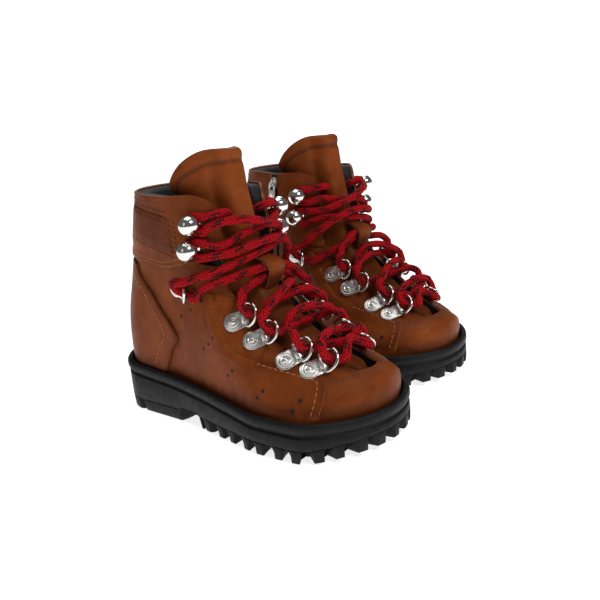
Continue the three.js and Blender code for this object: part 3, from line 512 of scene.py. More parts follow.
def cloth_look(name, dark, light, scale=1500, rough=0.9, sheen=0.25):
    look = Look(name, Roughness=rough, Sheen_Weight=sheen, Sheen_Roughness=0.5)
    place = look.where()
    one = look.node("TexWave", {"Vector": place, "Scale": scale / 6, "Distortion": 0.6},
                    bands_direction="DIAGONAL")
    two = look.node("TexWave", {"Vector": place, "Scale": scale / 6.4, "Distortion": 0.6},
                    bands_direction="Z")
    weave = look.maths("MULTIPLY", one.outputs["Fac"], two.outputs["Fac"])
    color = look.blend(look.spread(weave, 0.05, 0.6), dark, light)
    color = look.blend(look.spread(look.noise(220, 3), 0.35, 0.75, 0.0, 0.5), color, dark)
    return look.set(Base_Color=color, Normal=look.bump(weave, 0.00018, 0.6))


def nickel_look(name, low, high):
    look = Look(name, Metallic=1.0)
    haze = look.noise(420, 4, 0.6)
    color = look.ramp(haze, (0.3, (0.66, 0.645, 0.61)), (0.7, (0.83, 0.82, 0.79)))
    return look.set(Base_Color=color, Roughness=look.spread(haze, 0.3, 0.75, low, high),
                    Normal=look.bump(look.noise(260, 2), 0.00002, 0.1))


def lace_look():
    """run.x is the distance along the lace in millimetres, run.y the angle round it in turns."""
    look = Look("braided_lace", Roughness=0.85, Specular_IOR_Level=0.15)
    run = look.node("SeparateXYZ", {0: look.attribute("run", "Vector")})
    x, y = run.outputs["X"], run.outputs["Y"]
    # strands of the braid slant both ways round the lace
    slant_a = look.maths("ADD", look.maths("MULTIPLY", x, 0.42), look.maths("MULTIPLY", y, 8.0))
    slant_b = look.maths("SUBTRACT", look.maths("MULTIPLY", x, 0.42), look.maths("MULTIPLY", y, 8.0))
    wave_a = look.maths("ABSOLUTE", look.maths("SINE", look.maths("MULTIPLY", slant_a, math.pi)))
    wave_b = look.maths("ABSOLUTE", look.maths("SINE", look.maths("MULTIPLY", slant_b, math.pi)))
    braid = look.maths("MULTIPLY", wave_a, wave_b)
    # black flecks come in pairs of broken dashes, the second a little further on and beside the first
    turn = look.maths("ADD", look.maths("MULTIPLY", y, 3.0), look.maths("MULTIPLY", x, 1 / 45.0))
    fleck = None
    for shift, across in ((0.0, 0.3), (0.16, 0.66)):
        cell = look.maths("FRACT", look.maths("ADD", look.maths("MULTIPLY", x, 1 / 12.5), shift))
        long_enough = look.maths("LESS_THAN", look.maths("ABSOLUTE", look.maths("SUBTRACT", cell, 0.5)), 0.2)
        beside = look.maths("ABSOLUTE", look.maths("SUBTRACT", look.maths("FRACT", turn), across))
        dash = look.maths("MULTIPLY", long_enough, look.maths("LESS_THAN", beside, 0.14))
        fleck = dash if fleck is None else look.maths("MAXIMUM", fleck, dash)
    broken = look.maths("GREATER_THAN", look.maths("SINE", look.maths("MULTIPLY", x, 2 * math.pi / 1.6)),
                        -0.88)
    fleck = look.maths("MULTIPLY", fleck, broken)
    red = look.ramp(braid, (0.0, (0.1, 0.0008, 0.0025)), (0.35, (0.36, 0.002, 0.006)),
                    (0.8, (0.6, 0.004, 0.01)))
    color = look.blend(fleck, red, (0.012, 0.006, 0.007))
    return look.set(Base_Color=color, Normal=look.bump(braid, 0.00035, 0.7))


def thread_look(name, color, dark):
    look = Look(name, Roughness=0.62, Sheen_Weight=0.2)
    twist = look.noise(2400, 2)
    return look.set(Base_Color=look.blend(look.spread(twist, 0.3, 0.7), dark, color),
                    Normal=look.bump(twist, 0.0001, 0.5))


def plain_look(name, color, rough, scale=900):
    look = Look(name)
    grain = look.noise(scale, 3)
    dark = tuple(0.6 * c for c in color)
    return look.set(Base_Color=look.blend(look.spread(grain, 0.3, 0.7), dark, color),
                    Roughness=look.spread(grain, 0.3, 0.7, rough - 0.06, rough + 0.06),
                    Normal=look.bump(grain, 0.00008, 0.4))


LEATHER = leather_look("tan_leather", (1.0, 0.92, 0.8))
DARK_LEATHER = leather_look("tan_leather_patch", (0.72, 0.68, 0.66), 0.04)
EDGE = edge_look()
RUBBER = rubber_look()
LINING = cloth_look("black_lining", (0.006, 0.006, 0.007), (0.022, 0.022, 0.024))
TAPE = cloth_look("black_zip_tape", (0.005, 0.005, 0.006), (0.018, 0.018, 0.02), 2200, 0.8, 0.1)
FOOTBED = cloth_look("footbed_textile", (0.012, 0.012, 0.013), (0.045, 0.043, 0.04), 1100)
NICKEL = nickel_look("polished_nickel", 0.08, 0.16)
SATIN_NICKEL = nickel_look("satin_nickel", 0.24, 0.34)
LACE = lace_look()
ORANGE = thread_look("orange_thread", (0.56, 0.17, 0.035), (0.3, 0.075, 0.014))
BROWN = thread_look("brown_thread", (0.1, 0.026, 0.009), (0.045, 0.012, 0.005))
TEETH = plain_look("zip_teeth", (0.03, 0.03, 0.032), 0.35)
# colour of the punched holes: painted shade of their depth, partly the dark lining behind
HOLE = plain_look("perforation", (0.012, 0.006, 0.004), 0.85)


# ---------------------------------------------------------------- building blocks
def shell(top, bottom, mask=None, closed=False, shade=None):
    """A thick sheet between two grids of points; wall faces get the second material."""
    rows, across = top.shape[0] - 1, top.shape[1]
    columns = across if closed else across - 1
    on = np.ones((rows, columns), bool) if mask is None else mask
    half = top.shape[0] * across

    def index(i, j, inner):
        return j * across + i % across + inner * half

    def active(i, j):
        if closed:
            i %= columns
        return 0 <= j < rows and 0 <= i < columns and on[j, i]

    faces, looks = [], []
    for j in range(rows):
        for i in range(columns):
            if not on[j, i]:
                continue
            faces.append((index(i, j, 0), index(i + 1, j, 0), index(i + 1, j + 1, 0), index(i, j + 1, 0)))
            faces.append((index(i, j, 1), index(i, j + 1, 1), index(i + 1, j + 1, 1), index(i + 1, j, 1)))
            looks += [0, 0]
            walls = []
            if not active(i, j - 1):
                walls.append((index(i, j, 1), index(i + 1, j, 1), index(i + 1, j, 0), index(i, j, 0)))
            if not active(i, j + 1):
                walls.append((index(i, j + 1, 0), index(i + 1, j + 1, 0), index(i + 1, j + 1, 1),
                              index(i, j + 1, 1)))
            if not active(i - 1, j):
                walls.append((index(i, j, 0), index(i, j + 1, 0), index(i, j + 1, 1), index(i, j, 1)))
            if not active(i + 1, j):
                walls.append((index(i + 1, j, 1), index(i + 1, j + 1, 1), index(i + 1, j + 1, 0),
                              index(i + 1, j, 0)))
            faces += walls
            looks += [1] * len(walls)
    points = np.vstack([top.reshape(-1, 3), bottom.reshape(-1, 3)])
    tone = np.zeros(half) if shade is None else np.asarray(shade, float).ravel()
    used = np.unique([i for f in faces for i in f])
    renumber = np.full(len(points), -1)
    renumber[used] = np.arange(len(used))
    faces = [tuple(renumber[list(f)]) for f in faces]
    return facing_out(Shape(points[used], faces, looks, np.r_[tone, tone][used]))


def stops_grid(stops, splits):
    """Columns of u between the stops, each a value for every row, cut into the given number of steps."""
    columns = []
    for a, b, n in zip(stops[:-1], stops[1:], splits):
        columns += [a + (b - a) * k / n for k in range(n)]
    columns.append(stops[-1])
    return np.stack(columns, 1)


def nearest(points, line):
    """The distance from each point to a line of points."""
    flat = points.reshape(-1, 3)
    fine = along_length(line, step=0.8)[0]
    out = np.empty(len(flat))
    for start in range(0, len(flat), 4000):
        part = flat[start:start + 4000]
        out[start:start + 4000] = np.sqrt(((part[:, None] - fine[None]) ** 2).sum(2).min(1))
    return out.reshape(points.shape[:-1])


def tube(points, radius, sides, closed=False):
    """A round section carried along a line, with coords of the distance along it and the turn round it."""
    p = np.array(points, float)
    n = len(p)
    ahead = np.roll(p, -1, 0) if closed else np.vstack([p[1:], p[-1:]])
    behind = np.roll(p, 1, 0) if closed else np.vstack([p[:1], p[:-1]])
    tangent = unit(ahead - behind)
    normal = np.zeros_like(p)
    first = np.cross([0.31, 0.2, 0.93], tangent[0])
    for i in range(n):
        first = first - tangent[i] * (first @ tangent[i])
        first = first / np.linalg.norm(first)
        normal[i] = first
    side = np.cross(tangent, normal)
    angle = 2 * np.pi * np.arange(sides) / sides
    r = np.broadcast_to(np.asarray(radius, float), (n,))
    ring = (normal[:, None] * np.cos(angle)[None, :, None] + side[:, None] * np.sin(angle)[None, :,
                                                                                           None]) * r[:,
                                                                                                      None,
                                                                                                      None]
    points = (p[:, None] + ring).reshape(-1, 3)
    run = np.r_[0, np.cumsum(np.linalg.norm(np.diff(p, axis=0), axis=1))]
    coords = np.zeros((n, sides, 3))
    coords[..., 0] = run[:, None]
    coords[..., 1] = (np.arange(sides) / sides)[None]
    faces = []
    for i in range(n if closed else n - 1):
        for k in range(sides):
            a, b = i * sides, ((i + 1) % n) * sides
            faces.append((a + k, b + k, b + (k + 1) % sides, a + (k + 1) % sides))
    if not closed:
        faces.append(tuple(range(sides))[::-1])
        faces.append(tuple((n - 1) * sides + k for k in range(sides)))
    return facing_out(Shape(points, faces, coords=coords.reshape(-1, 3)))


class Fitting:
    """The frame of a riveted fitting: x towards the throat, y along the edge, z out of the leather."""

    def __init__(self, place, medial, aim_v):
        u, v = place
        at = 1 - u if medial else u
        self.origin = surface(at, v).ravel()
        self.z = normal_at(np.array([at]), np.array([v]))[0]
        aim = surface(0.0, aim_v).ravel() - self.origin
        self.x = unit(aim - self.z * (aim @ self.z))
        self.y = np.cross(self.z, self.x)

    def at(self, x, y, z):
        return self.origin + self.x * x + self.y * y + self.z * z

    def lines(self, points):
        p = np.array(points, float)
        return self.origin + p[:, :1] * self.x + p[:, 1:2] * self.y + p[:, 2:] * self.z

    def tilted(self):
        ring = object.__new__(Fitting)
        tilt = math.radians(RING_TILT)
        ring.origin = self.at(RIVET_TO_BAR, 0, BAR_HEIGHT)
        ring.x = self.x * math.cos(tilt) + self.z * math.sin(tilt)
        ring.y = self.y
        ring.z = np.cross(ring.x, ring.y)
        return ring


def lathe(frame_, profile, sides):
    """Turns (radius, height) points round the frame's z axis; the ends are closed."""
    points, faces = [], []
    for r, z in profile:
        for k in range(sides):
            a = 2 * math.pi * k / sides
            points.append((r * math.cos(a), r * math.sin(a), z))
    for i in range(len(profile) - 1):
        for k in range(sides):
            a, b, n = i * sides, (i + 1) * sides, (k + 1) % sides
            faces.append((a + k, a + n, b + n, b + k))
    faces.append(tuple(range(sides))[::-1])
    faces.append(tuple((len(profile) - 1) * sides + k for k in range(sides)))
    return facing_out(Shape(frame_.lines(points), faces))


def slab(frame_, outline_points, low, high, bevel=0.2):
    """A flat plate with the outline given as (x, y), with rounded edges."""
    n = len(outline_points)
    points = [(x, y, low) for x, y in outline_points] + [(x, y, high) for x, y in outline_points]
    faces = [tuple(range(n))[::-1], tuple(range(n, 2 * n))]
    faces += [(k, (k + 1) % n, n + (k + 1) % n, n + k) for k in range(n)]
    shape = facing_out(Shape(points, faces))
    shape = beveled(shape, bevel, 40, 2) if bevel else shape
    shape.points = frame_.lines(shape.points)
    return facing_out(shape)


def stitches(line, length=2.3, gap=0.8, thick=0.3, lift=None):
    """A row of sewn stitches along a line of points; lift is the outward direction at each point."""
    p, run = along_length(line, step=0.4)
    out = unit(along_length(np.asarray(lift), count=len(p))[0])
    count = int(run[-1] // (length + gap))
    sides = 6
    profile = [(-0.5, 0.35, -0.75), (-0.36, 0.85, -0.1), (0.0, 1.0, 0.35), (0.36, 0.85, -0.1), (0.5, 0.35,
                                                                                                -0.75)]
    start = (run[-1] - count * (length + gap) + gap) / 2
    centres = start + length / 2 + np.arange(count) * (length + gap)
    middle = np.stack([np.interp(centres, run, p[:, k]) for k in range(3)], 1)
    up = unit(np.stack([np.interp(centres, run, out[:, k]) for k in range(3)], 1))
    ahead = np.stack([np.interp(centres + length / 2, run, p[:, k]) for k in range(3)], 1)
    behind = np.stack([np.interp(centres - length / 2, run, p[:, k]) for k in range(3)], 1)
    along = unit(ahead - behind)
    side = np.cross(along, up)
    rings = []
    for t, r, z in profile:
        base = middle + along * (t * length) + up * (z * thick)
        for k in range(sides):
            a = 2 * math.pi * k / sides
            rings.append(base + (side * math.cos(a) + up * math.sin(a)) * (r * thick))
    points = np.stack(rings, 1).reshape(-1, 3)
    per = len(profile) * sides
    faces = []
    for c in range(count):
        b = c * per
        for i in range(len(profile) - 1):
            for k in range(sides):
                n = (k + 1) % sides
                faces.append((b + i * sides + k, b + i * sides + n, b + (i + 1) * sides + n,
                              b + (i + 1) * sides + k))
        faces.append(tuple(b + k for k in range(sides))[::-1])
        faces.append(tuple(b + per - sides + k for k in range(sides)))
    return facing_out(Shape(points, faces))


def sewn(line, height, **sizes):
    """Stitches along [u, v] places, standing on the surface at a height."""
    fine = catmull(line, 10)
    return sewn_along(fine[:, 0], fine[:, 1], height, **sizes)


def sewn_along(u, v, height, **sizes):
    """Stitches along a line of grid places."""
    base = surface(u, v, height)
    return stitches(base, lift=surface(u, v, height + 1) - base, **sizes)


def other_side(line):
    return [(1 - u, v) for u, v in line]


# ---------------------------------------------------------------- sole unit
SOLE_STATIONS = 230
LUG_DEPTH = 7
LUG_REACH = 8.5
ARCH_START = 11
HEEL_BREAST = 29.6


def sole_outline(inset):
    lateral, medial = outline(inset, SOLE_STATIONS + 1)
    return np.vstack([lateral, medial[1:-1][::-1]])


def lug_gaps(edge):
    """How far, 0 to 1, the gaps between the lugs cut in at the floor and at their ceiling."""
    y = edge[:, 1]
    step = np.linalg.norm(edge - np.roll(edge, 1, 0), axis=1)
    step[0] = 0
    run = np.cumsum(step)
    low, high = np.zeros(len(edge)), np.zeros(len(edge))
    toe_run = run[np.argmin(y)]
    total = run[-1] + np.linalg.norm(edge[0] - edge[-1])
    from_toe = np.abs((run - toe_run + total / 2) % total - total / 2)
    forefoot = y < ARCH_START - 1
    heel = y > HEEL_BREAST + 6
    for centre in np.arange(5.5, 140, 11.2):
        d = np.abs(from_toe - centre)
        wide = 2.1 if round(centre / 11.2) % 2 else 3.0
        low = np.maximum(low, np.where(forefoot | heel, 1 - smooth(d, wide, wide + 0.5), 0))
        high = np.maximum(high, np.where(forefoot | heel, 1 - smooth(d, wide - 1.1, wide - 0.6), 0))
    heel_end = total / 2 - from_toe
    for centre in (6.5, 19.5, 33, 46):
        d = np.abs(heel_end - centre)
        low = np.maximum(low, np.where(heel, 1 - smooth(d, 1.9, 2.4), 0))
        high = np.maximum(high, np.where(heel, 1 - smooth(d, 0.9, 1.4), 0))
    return low, high


def closed_stack(rings, stations):
    """A closed solid from outlines stacked one over the other, each from the toe round both sides."""
    around = len(rings[0])
    faces = []
    for level in range(len(rings) - 1):
        for i in range(around):
            a, b = level * around + i, level * around + (i + 1) % around
            faces.append((a, b, b + around, a + around))
    for first in (0, (len(rings) - 1) * around):
        for i in range(stations):
            across = [first + i, first + (around - i) % around, first + (around - i - 1) % around,
                      first + i + 1]
            across = list(dict.fromkeys(across))
            if len(across) >= 3:
                faces.append(tuple(across if first else across[::-1]))
    return Shape(np.vstack(rings), faces)


def sole():
    edge = sole_outline(0)
    y = edge[:, 1]
    around = len(edge)
    low, high = lug_gaps(edge)
    welt = welt_height(y)
    spring = 3.0 * smooth(-y, 62, 92) + 0.8 * smooth(y, 78, 92)
    arch = smooth(y, ARCH_START - 0.6, ARCH_START + 0.6) * (1 - smooth(y, HEEL_BREAST - 0.6,
                                                                       HEEL_BREAST + 0.6))
    floor = spring + (LUG_DEPTH + 0.6) * arch
    flat = np.ones(around)
    gap_top = np.maximum(spring + LUG_DEPTH, floor + 0.7)
    # (inset, height) all round: the tread, the lugs with their gaps, the midsole, then the rolled rand
    levels = [
        (5.0 + 4 * low, floor),
        (1.6 + LUG_REACH * low, floor),
        (0.7 + LUG_REACH * low, floor + 0.35),
        (0.35 + LUG_REACH * low, floor + 1.0),
        (0.1 + LUG_REACH * (low + high) / 2, floor + 4 * (1 - arch) + 0.4 * arch),
        (0.05 + LUG_REACH * high, floor + (LUG_DEPTH - 0.6) * (1 - arch) + 0.6 * arch),
        (0.2 + LUG_REACH * high, gap_top),
        (0.45 * flat, np.maximum(spring + LUG_DEPTH + 0.1, floor + 0.8)),
        (0.1 * flat, np.maximum(spring + LUG_DEPTH + 0.6, floor + 1.4)),
        (0.15 * flat, (welt - 7.8 + floor + LUG_DEPTH) / 2 * (1 - arch) + arch * (welt - 9.5)),
    ]
    rand = [(0.25, 7.9), (0.55, 7.3), (1.3, 7), (1.35, 6.6), (1.3, 5.6), (0.6, 5.25), (-0.05, 4.7),
            (-0.3, 3.7), (-0.32, 2.4),
            (-0.1, 1.2), (0.45, 0.35), (1.3, 0), (2.3, 0.2), (3.2, 0.9), (3.5, 2.4), (3.6, UPPER_SINKS + 0.6)]
    levels += [(inset * flat, welt - below) for inset, below in rand]
    nets = {k: sole_outline(k) for k in (-1, 0, 1, 2, 4, 7, 10)}
    keys = sorted(nets)

    def ring(inset, height):
        inset = np.clip(inset, keys[0], keys[-1])
        k = np.clip(np.searchsorted(keys, inset) - 1, 0, len(keys) - 2)
        stack = np.stack([nets[key] for key in keys])
        t = ((inset - np.array(keys)[k]) / (np.array(keys)[k + 1] - np.array(keys)[k]))[:, None]
        at = np.arange(around)
        flat = stack[k, at] * (1 - t) + stack[k + 1, at] * t
        return np.c_[flat, height]

    shape = closed_stack([ring(inset, height) for inset, height in levels], SOLE_STATIONS)
    bm = bmesh.new()
    verts = [bm.verts.new(p) for p in shape.points]
    for f in shape.faces:
        bm.faces.new([verts[i] for i in f])
    bmesh.ops.recalc_face_normals(bm, faces=bm.faces)
    bm.verts.index_update()
    shape.faces = [tuple(v.index for v in f.verts) for f in bm.faces]
    bm.free()
    return facing_out(shape)


def footbed():
    rings = []
    for inset, above in ((0.9, 0.3), (0.0, 0.9), (0.0, 2.4), (0.8, 3.1), (6, 3.3)):
        a, b = outline(9.6 + inset, 60)
        edge = np.vstack([a, b[1:-1][::-1]])
        rings.append(np.c_[edge, welt_height(edge[:, 1]) - UPPER_SINKS - 0.6 + above])
    around = len(edge)
    faces = []
    for level in range(len(rings) - 1):
        for i in range(around):
            a, b = level * around + i, level * around + (i + 1) % around
            faces.append((a, b, b + around, a + around))
    for first in (0, (len(rings) - 1) * around):
        for i in range(59):
            quad = list(dict.fromkeys([first + i, first + (around - i) % around,
                                       first + (around - i - 1) % around, first + i + 1]))
            if len(quad) >= 3:
                faces.append(tuple(quad[::-1] if first else quad))
    return facing_out(Shape(np.vstack(rings), faces))


piece("sole_unit", sole(), [RUBBER], nodes=["outsole"])
piece("insole", footbed(), [FOOTBED], nodes=["footbed"])

# ---------------------------------------------------------------- leather panels
LEATHERS = [LEATHER, EDGE]


def panel(u, v, outer, thick, mask=None, bevel=0.35, borders=(), reach=3.2, extra=None):
    """A leather panel on a grid of places, darker along the given border lines with painted shade."""
    top = surface(u, v, outer)
    bottom = surface(u, v, outer - thick)
    shade = np.zeros(u.shape)
    for line in borders:
        shade = np.maximum(shade, np.exp(-(nearest(top, line) / reach) ** 1.3))
    if extra is not None:
        shade = np.maximum(shade, extra)
    return beveled(shell(top, bottom, mask, shade=0.75 * shade), bevel)


def border(u, v, rows=(0, -1), columns=(0, -1)):
    """The edges of a grid of places, as lines on the surface."""
    return [line_at(u[k], v[k]) for k in rows] + [line_at(u[:, k], v[:, k]) for k in columns]


def rows_between(*spans):
    """Row heights: (from, to, count) spans joined."""
    out = []
    for low, high, n in spans:
        out += list(np.linspace(low, high, n, endpoint=False))
    return np.array(out + [spans[-1][1]])


def line_at(u, v, height=0.0):
    return surface(np.asarray(u, float), np.asarray(v, float), height)


V_FINE = np.linspace(0, 1, 90)
SEAM_LINE = line_at(seam_at(V_FINE * 0.6), V_FINE * 0.6)
SEAM_LINE_M = line_at(1 - seam_at(V_FINE * 0.6), V_FINE * 0.6)
THROAT_LINE = line_at(throat_at(0.17 + V_FINE * 0.8), 0.17 + V_FINE * 0.8)
THROAT_LINE_M = line_at(1 - throat_at(0.17 + V_FINE * 0.8), 0.17 + V_FINE * 0.8)
SOLE_LINE = line_at(np.linspace(0, 1, 160), np.full(160, 0.045))


def vamp():
    v = rows_between((0, THROAT_START, 24), (THROAT_START, VAMP_TOP + 0.012, 64))
    grid = stops_grid([seam_at(v), throat_at(v), 0 * v, -throat_at(v), -seam_at(v)], [30, 14, 14, 30])
    vv = np.broadcast_to(v[:, None], grid.shape)
    mask = np.ones((len(v) - 1, grid.shape[1] - 1), bool)
    mask[24:, 30:58] = False
    return panel(grid, vv, 0 * grid, 1.5, mask, borders=(SEAM_LINE, SEAM_LINE_M, SOLE_LINE, THROAT_LINE,
                                                         THROAT_LINE_M))


def lap(points, line):
    """How far a panel rides up over its neighbour near a lapped edge."""
    return 1.15 * (1 - smooth(nearest(points, line), 2.4, 8))


def quarter(medial):
    v = rows_between((0, 0.594, 74), (0.594, 0.606, 4), (0.606, QUARTER_TOP, 14))
    over = seam_at(v) - in_u(2.4)
    front = over + (throat_at(v) + in_u(0.4) - over) * smooth(v, 0.594, 0.603)
    counter = table(COUNTER_EDGE, v) + in_u(4)
    if medial:
        slot = in_u(2.7)
        at = 1 - zip_at(v)
        stops, splits = [front, at - slot, at + slot, counter, 0.498 + 0 * v], [26, 3, 26, 26]
    else:
        stops, splits = [front, counter, 0.498 + 0 * v], [56, 26]
    u = stops_grid(stops, splits)
    vv = np.broadcast_to(v[:, None], u.shape)
    mask = np.ones((len(v) - 1, u.shape[1] - 1), bool)
    if medial:
        mask[v[:-1] >= ZIP_BOTTOM, 26:29] = False
    flip = 1 - u if medial else u
    edge_line = line_at(1 - front if medial else front, v)
    outer = lap(surface(flip, vv), edge_line)
    counter_at = table(COUNTER_EDGE, V_FINE * 0.72)
    lines = [edge_line, SOLE_LINE, line_at(1 - counter_at if medial else counter_at, V_FINE * 0.72)]
    return panel(flip, vv, outer, 1.4, mask, borders=lines)


def heel_counter():
    v = rows_between((0.03, 0.615, 60))
    edge = table(COUNTER_EDGE, v)
    u = stops_grid([edge, 0.5 + 0 * v, 1 - edge], [42, 42])
    vv = np.broadcast_to(v[:, None], u.shape)
    lines = [line_at(edge, v), line_at(1 - edge, v), SOLE_LINE]
    return panel(u, vv, 1.45 + 0 * u, 1.4, bevel=0.45, borders=lines, reach=2.4)


def cuff_top(u):
    return table([(0.083, 0.93), (0.1, 0.965), (0.13, 0.978), (0.2, 0.976), (0.3, 0.985)], u)


def cuff_bottom(u):
    return table([(0.09, 0.755), (0.12, 0.735), (0.17, 0.69), (0.24, 0.65), (0.34, 0.65), (0.5, 0.635)], u)


def cuff_grid(inset=0.0, columns=120, rows=40):
    """Places of the cuff; inset draws its edges in by that many millimetres."""
    i = np.linspace(0, 1, columns + 1)
    start = 0.087
    roughly = start + (zip_at(0.8) - in_u(2.7) - start) * i
    folded = np.where(roughly > 0.5, 1 - roughly, roughly)
    low, high = cuff_bottom(folded) + inset / 128, cuff_top(folded) - inset / 128
    t = np.linspace(0, 1, rows + 1)[:, None]
    v = low + (high - low) * t
    first = np.maximum(start, throat_at(v)) + in_u(inset)
    corner = in_u(5.5) * (1 - rounding(np.minimum((1 - t) * 7, 1)))
    low_corner = in_u(3.5) * (1 - rounding(np.minimum(t * 9, 1)))
    first = first + corner + low_corner
    last = zip_at(v) - in_u(2.7 + inset)
    return first + (last - first) * i, v


def cuff():
    u, v = cuff_grid()
    t = np.linspace(0, 1, u.shape[0])[:, None]
    puff = 0.45 * smooth(u, 0.2, 0.27) * smooth(t, 0.16, 0.3) * smooth(1 - t, 0.16, 0.3)
    return panel(u, v, 2.0 + puff, 1.5, bevel=0.45, borders=border(u, v), reach=2.2)


def medial_cuff_grid(inset=0.0, columns=34, rows=60):
    i = np.linspace(0, 1, columns + 1)
    roughly = 0.09 + 0.145 * i
    low, high = 0.64 + inset / 128, cuff_top(roughly) - inset / 128
    t = np.linspace(0, 1, rows + 1)[:, None]
    v = low + (high - low) * t
    corner = in_u(5.5) * (1 - rounding(np.minimum((1 - t) * 9, 1)))
    low_corner = in_u(3.0) * (1 - rounding(np.minimum(t * 12, 1)))
    first = throat_at(v) + in_u(0.5 + inset) + corner + low_corner
    last = 1 - zip_at(v) - in_u(2.7 + inset)
    return 1 - (first + (last - first) * i), v


def medial_cuff():
    u, v = medial_cuff_grid()
    return panel(u, v, 2.0 + 0 * u, 1.5, bevel=0.45, borders=border(u, v), reach=2.2)


def eyestay(medial):
    """The thin overlay under the two middle rings, with a rounded lower corner."""
    v = rows_between((0.186, 0.6, 60))
    left = table([(0.186, 0.172), (0.192, 0.18), (0.21, 0.184), (0.333, 0.204), (0.46, 0.194), (0.6, 0.17)],
                 v)
    right = table([(0.186, 0.17), (0.2, 0.166), (0.35, 0.118), (0.37, 0.107), (0.46, 0.111), (0.6, 0.115)], v)
    u = stops_grid([left, right], [26])
    vv = np.broadcast_to(v[:, None], u.shape)
    edge_line = line_at(1 - left if medial else left, v)
    flip = 1 - u if medial else u
    over = 1.1 * (1 - smooth(nearest(surface(flip, vv), SEAM_LINE_M if medial else SEAM_LINE), 2.4, 8))
    beyond = np.where(u > seam_at(vv) - in_u(2.4), over, 0)
    top = np.maximum(0.42, beyond + 0.42)
    lines = [edge_line, line_at(1 - right if medial else right, v)]
    return panel(flip, vv, top, 0.5, bevel=0.18, borders=lines, reach=1.6)


PATCH = [(0.342, 0.925), (0.217, 0.892), (0.221, 0.742), (0.342, 0.775)]


def patch_at(s, t):
    """Places on the blank patch: s from its front edge back, t from its lower edge up."""
    (ub, vb), (ua, va), (uc, vc), (ud, vd) = PATCH
    low_u, low_v = uc + (ud - uc) * s, vc + (vd - vc) * s
    high_u, high_v = ua + (ub - ua) * s, va + (vb - va) * s
    return low_u + (high_u - low_u) * t, low_v + (high_v - low_v) * t


def patch():
    s, t = np.meshgrid(np.linspace(0, 1, 31), np.linspace(0, 1, 25))
    u, v = patch_at(s, t)
    edge_dist = np.minimum(np.minimum(s, 1 - s) * 26, np.minimum(t, 1 - t) * 19)
    raised = 2.75 + 0.35 * smooth(edge_dist, 1.2, 3.2)
    return panel(u, v, raised, 1.0, bevel=0.3, borders=border(u, v), reach=1.8)


def pull_strip():
    v = np.linspace(0.655, 0.93, 40)
    half = in_u(6.0) * (0.55 + 0.45 * rounding(np.minimum(np.arange(40), 39 - np.arange(40)) / 4))
    u = stops_grid([0.5 - half, 0.5 + 0 * v, 0.5 + half], [6, 6])
    vv = np.broadcast_to(v[:, None], u.shape)
    stand = 3.6 + 3.0 * np.sin(np.pi * (vv - 0.655) / 0.275) ** 0.8
    return panel(u, vv, stand, 1.4, bevel=0.4, borders=[line_at(u[:, 0], v), line_at(u[:, -1], v)], reach=1.5)


piece("vamp_leather", vamp(), LEATHERS, nodes=["vamp"])
piece("lateral_quarter_leather", quarter(False), LEATHERS, nodes=["lateral_quarter"])
piece("medial_quarter_leather", quarter(True), LEATHERS, nodes=["medial_quarter"])
piece("heel_counter_leather", heel_counter(), LEATHERS, nodes=["heel_counter"])
piece("cuff_leather", cuff(), LEATHERS, nodes=["cuff"])
piece("medial_cuff_leather", medial_cuff(), LEATHERS, nodes=["medial_cuff"])
piece("lateral_eyestay", eyestay(False), LEATHERS)
piece("medial_eyestay", eyestay(True), LEATHERS)
piece("cuff_patch", patch(), [DARK_LEATHER, EDGE])
piece("heel_pull_strip", pull_strip(), LEATHERS, nodes=["pull_loop"])


# ---------------------------------------------------------------- lining
def lining():
    v = np.r_[np.linspace(0.03, THROAT_START, 10, endpoint=False), np.linspace(THROAT_START, 0.8, 40,
                                                                               endpoint=False),
              np.linspace(0.8, 1, 21)]
    throat = throat_at(v) + in_u(1.2)
    u = stops_grid([throat, 0.5 + 0 * v, 1 - throat], [70, 70])
    folded = np.where(u > 0.5, 1 - u, u)
    top = cuff_top(folded) - 0.006
    vv = np.where(v[:, None] > 0.8, 0.8 + (top - 0.8) * (v[:, None] - 0.8) / 0.2, v[:, None])
    corner = in_u(5.0) * (1 - rounding(np.minimum(np.maximum(top - vv, 0) * 128 / 6.5, 1)))
    near_throat = np.clip(1 - (folded - throat[:, None]) / in_u(14), 0, 1)
    u = np.where(u > 0.5, u - corner * near_throat, u + corner * near_throat)
    to_edge = np.minimum((top - vv) * 128, (folded - throat[:, None]) * PERIMETER)
    near_edge = 1 - smooth(to_edge, 1, 7)
    body = np.where(vv > 0.71, 0.45, -1.55)
    outer = -3.6 + (body + 3.6) * near_edge
    inner = -4.8 + 1.0 * (1 - rounding(to_edge / 2.5)) * np.ones_like(u)
    collar = beveled(shell(surface(u, vv, outer), surface(u, vv, inner)), 0.5, 55, 2)
    # the closed toe part, in front of the mouth
    t = np.linspace(0.03, THROAT_START, 11)
    mouth = throat_at(t) + in_u(1.2)
    uu = stops_grid([mouth, 0 * t, -mouth], [10, 10])
    ww = np.broadcast_to(t[:, None], uu.shape)
    toe = shell(surface(uu, ww, -3.6), surface(uu, ww, -4.8))
    return merged([collar, toe])


piece("textile_lining", lining(), [LINING, LINING], nodes=["lining"])


# ---------------------------------------------------------------- tongue
def tongue_layer(around, v):
    throat = throat_at(np.minimum(v, 1))
    middle = 1 - smooth(around, 0.3 * throat, 0.9 * throat)
    pocket = TONGUE_POCKET * smooth(v, 0.7, 0.8) * (1 - 0.75 * smooth(v, 0.94, 1.04)) * (1 - middle)
    outer = TONGUE_OUTSIDE + TONGUE_BULGE * middle * smooth(v, 0.14, 0.22) - pocket
    return np.minimum(TONGUE_INSIDE, outer - 3.2), outer


def tongue_top(spread):
    return 1 + (TONGUE_RISE / COLLAR_HEIGHT) * (1 - np.abs(spread) ** 2.6)


def tongue_place(spread, t):
    """Places on the tongue: spread from -1 medial to 1 lateral, t from its lower end to its tip."""
    v = 0.19 + (tongue_top(spread) - 0.19) * t
    return spread * table(TONGUE_HALF, v), v


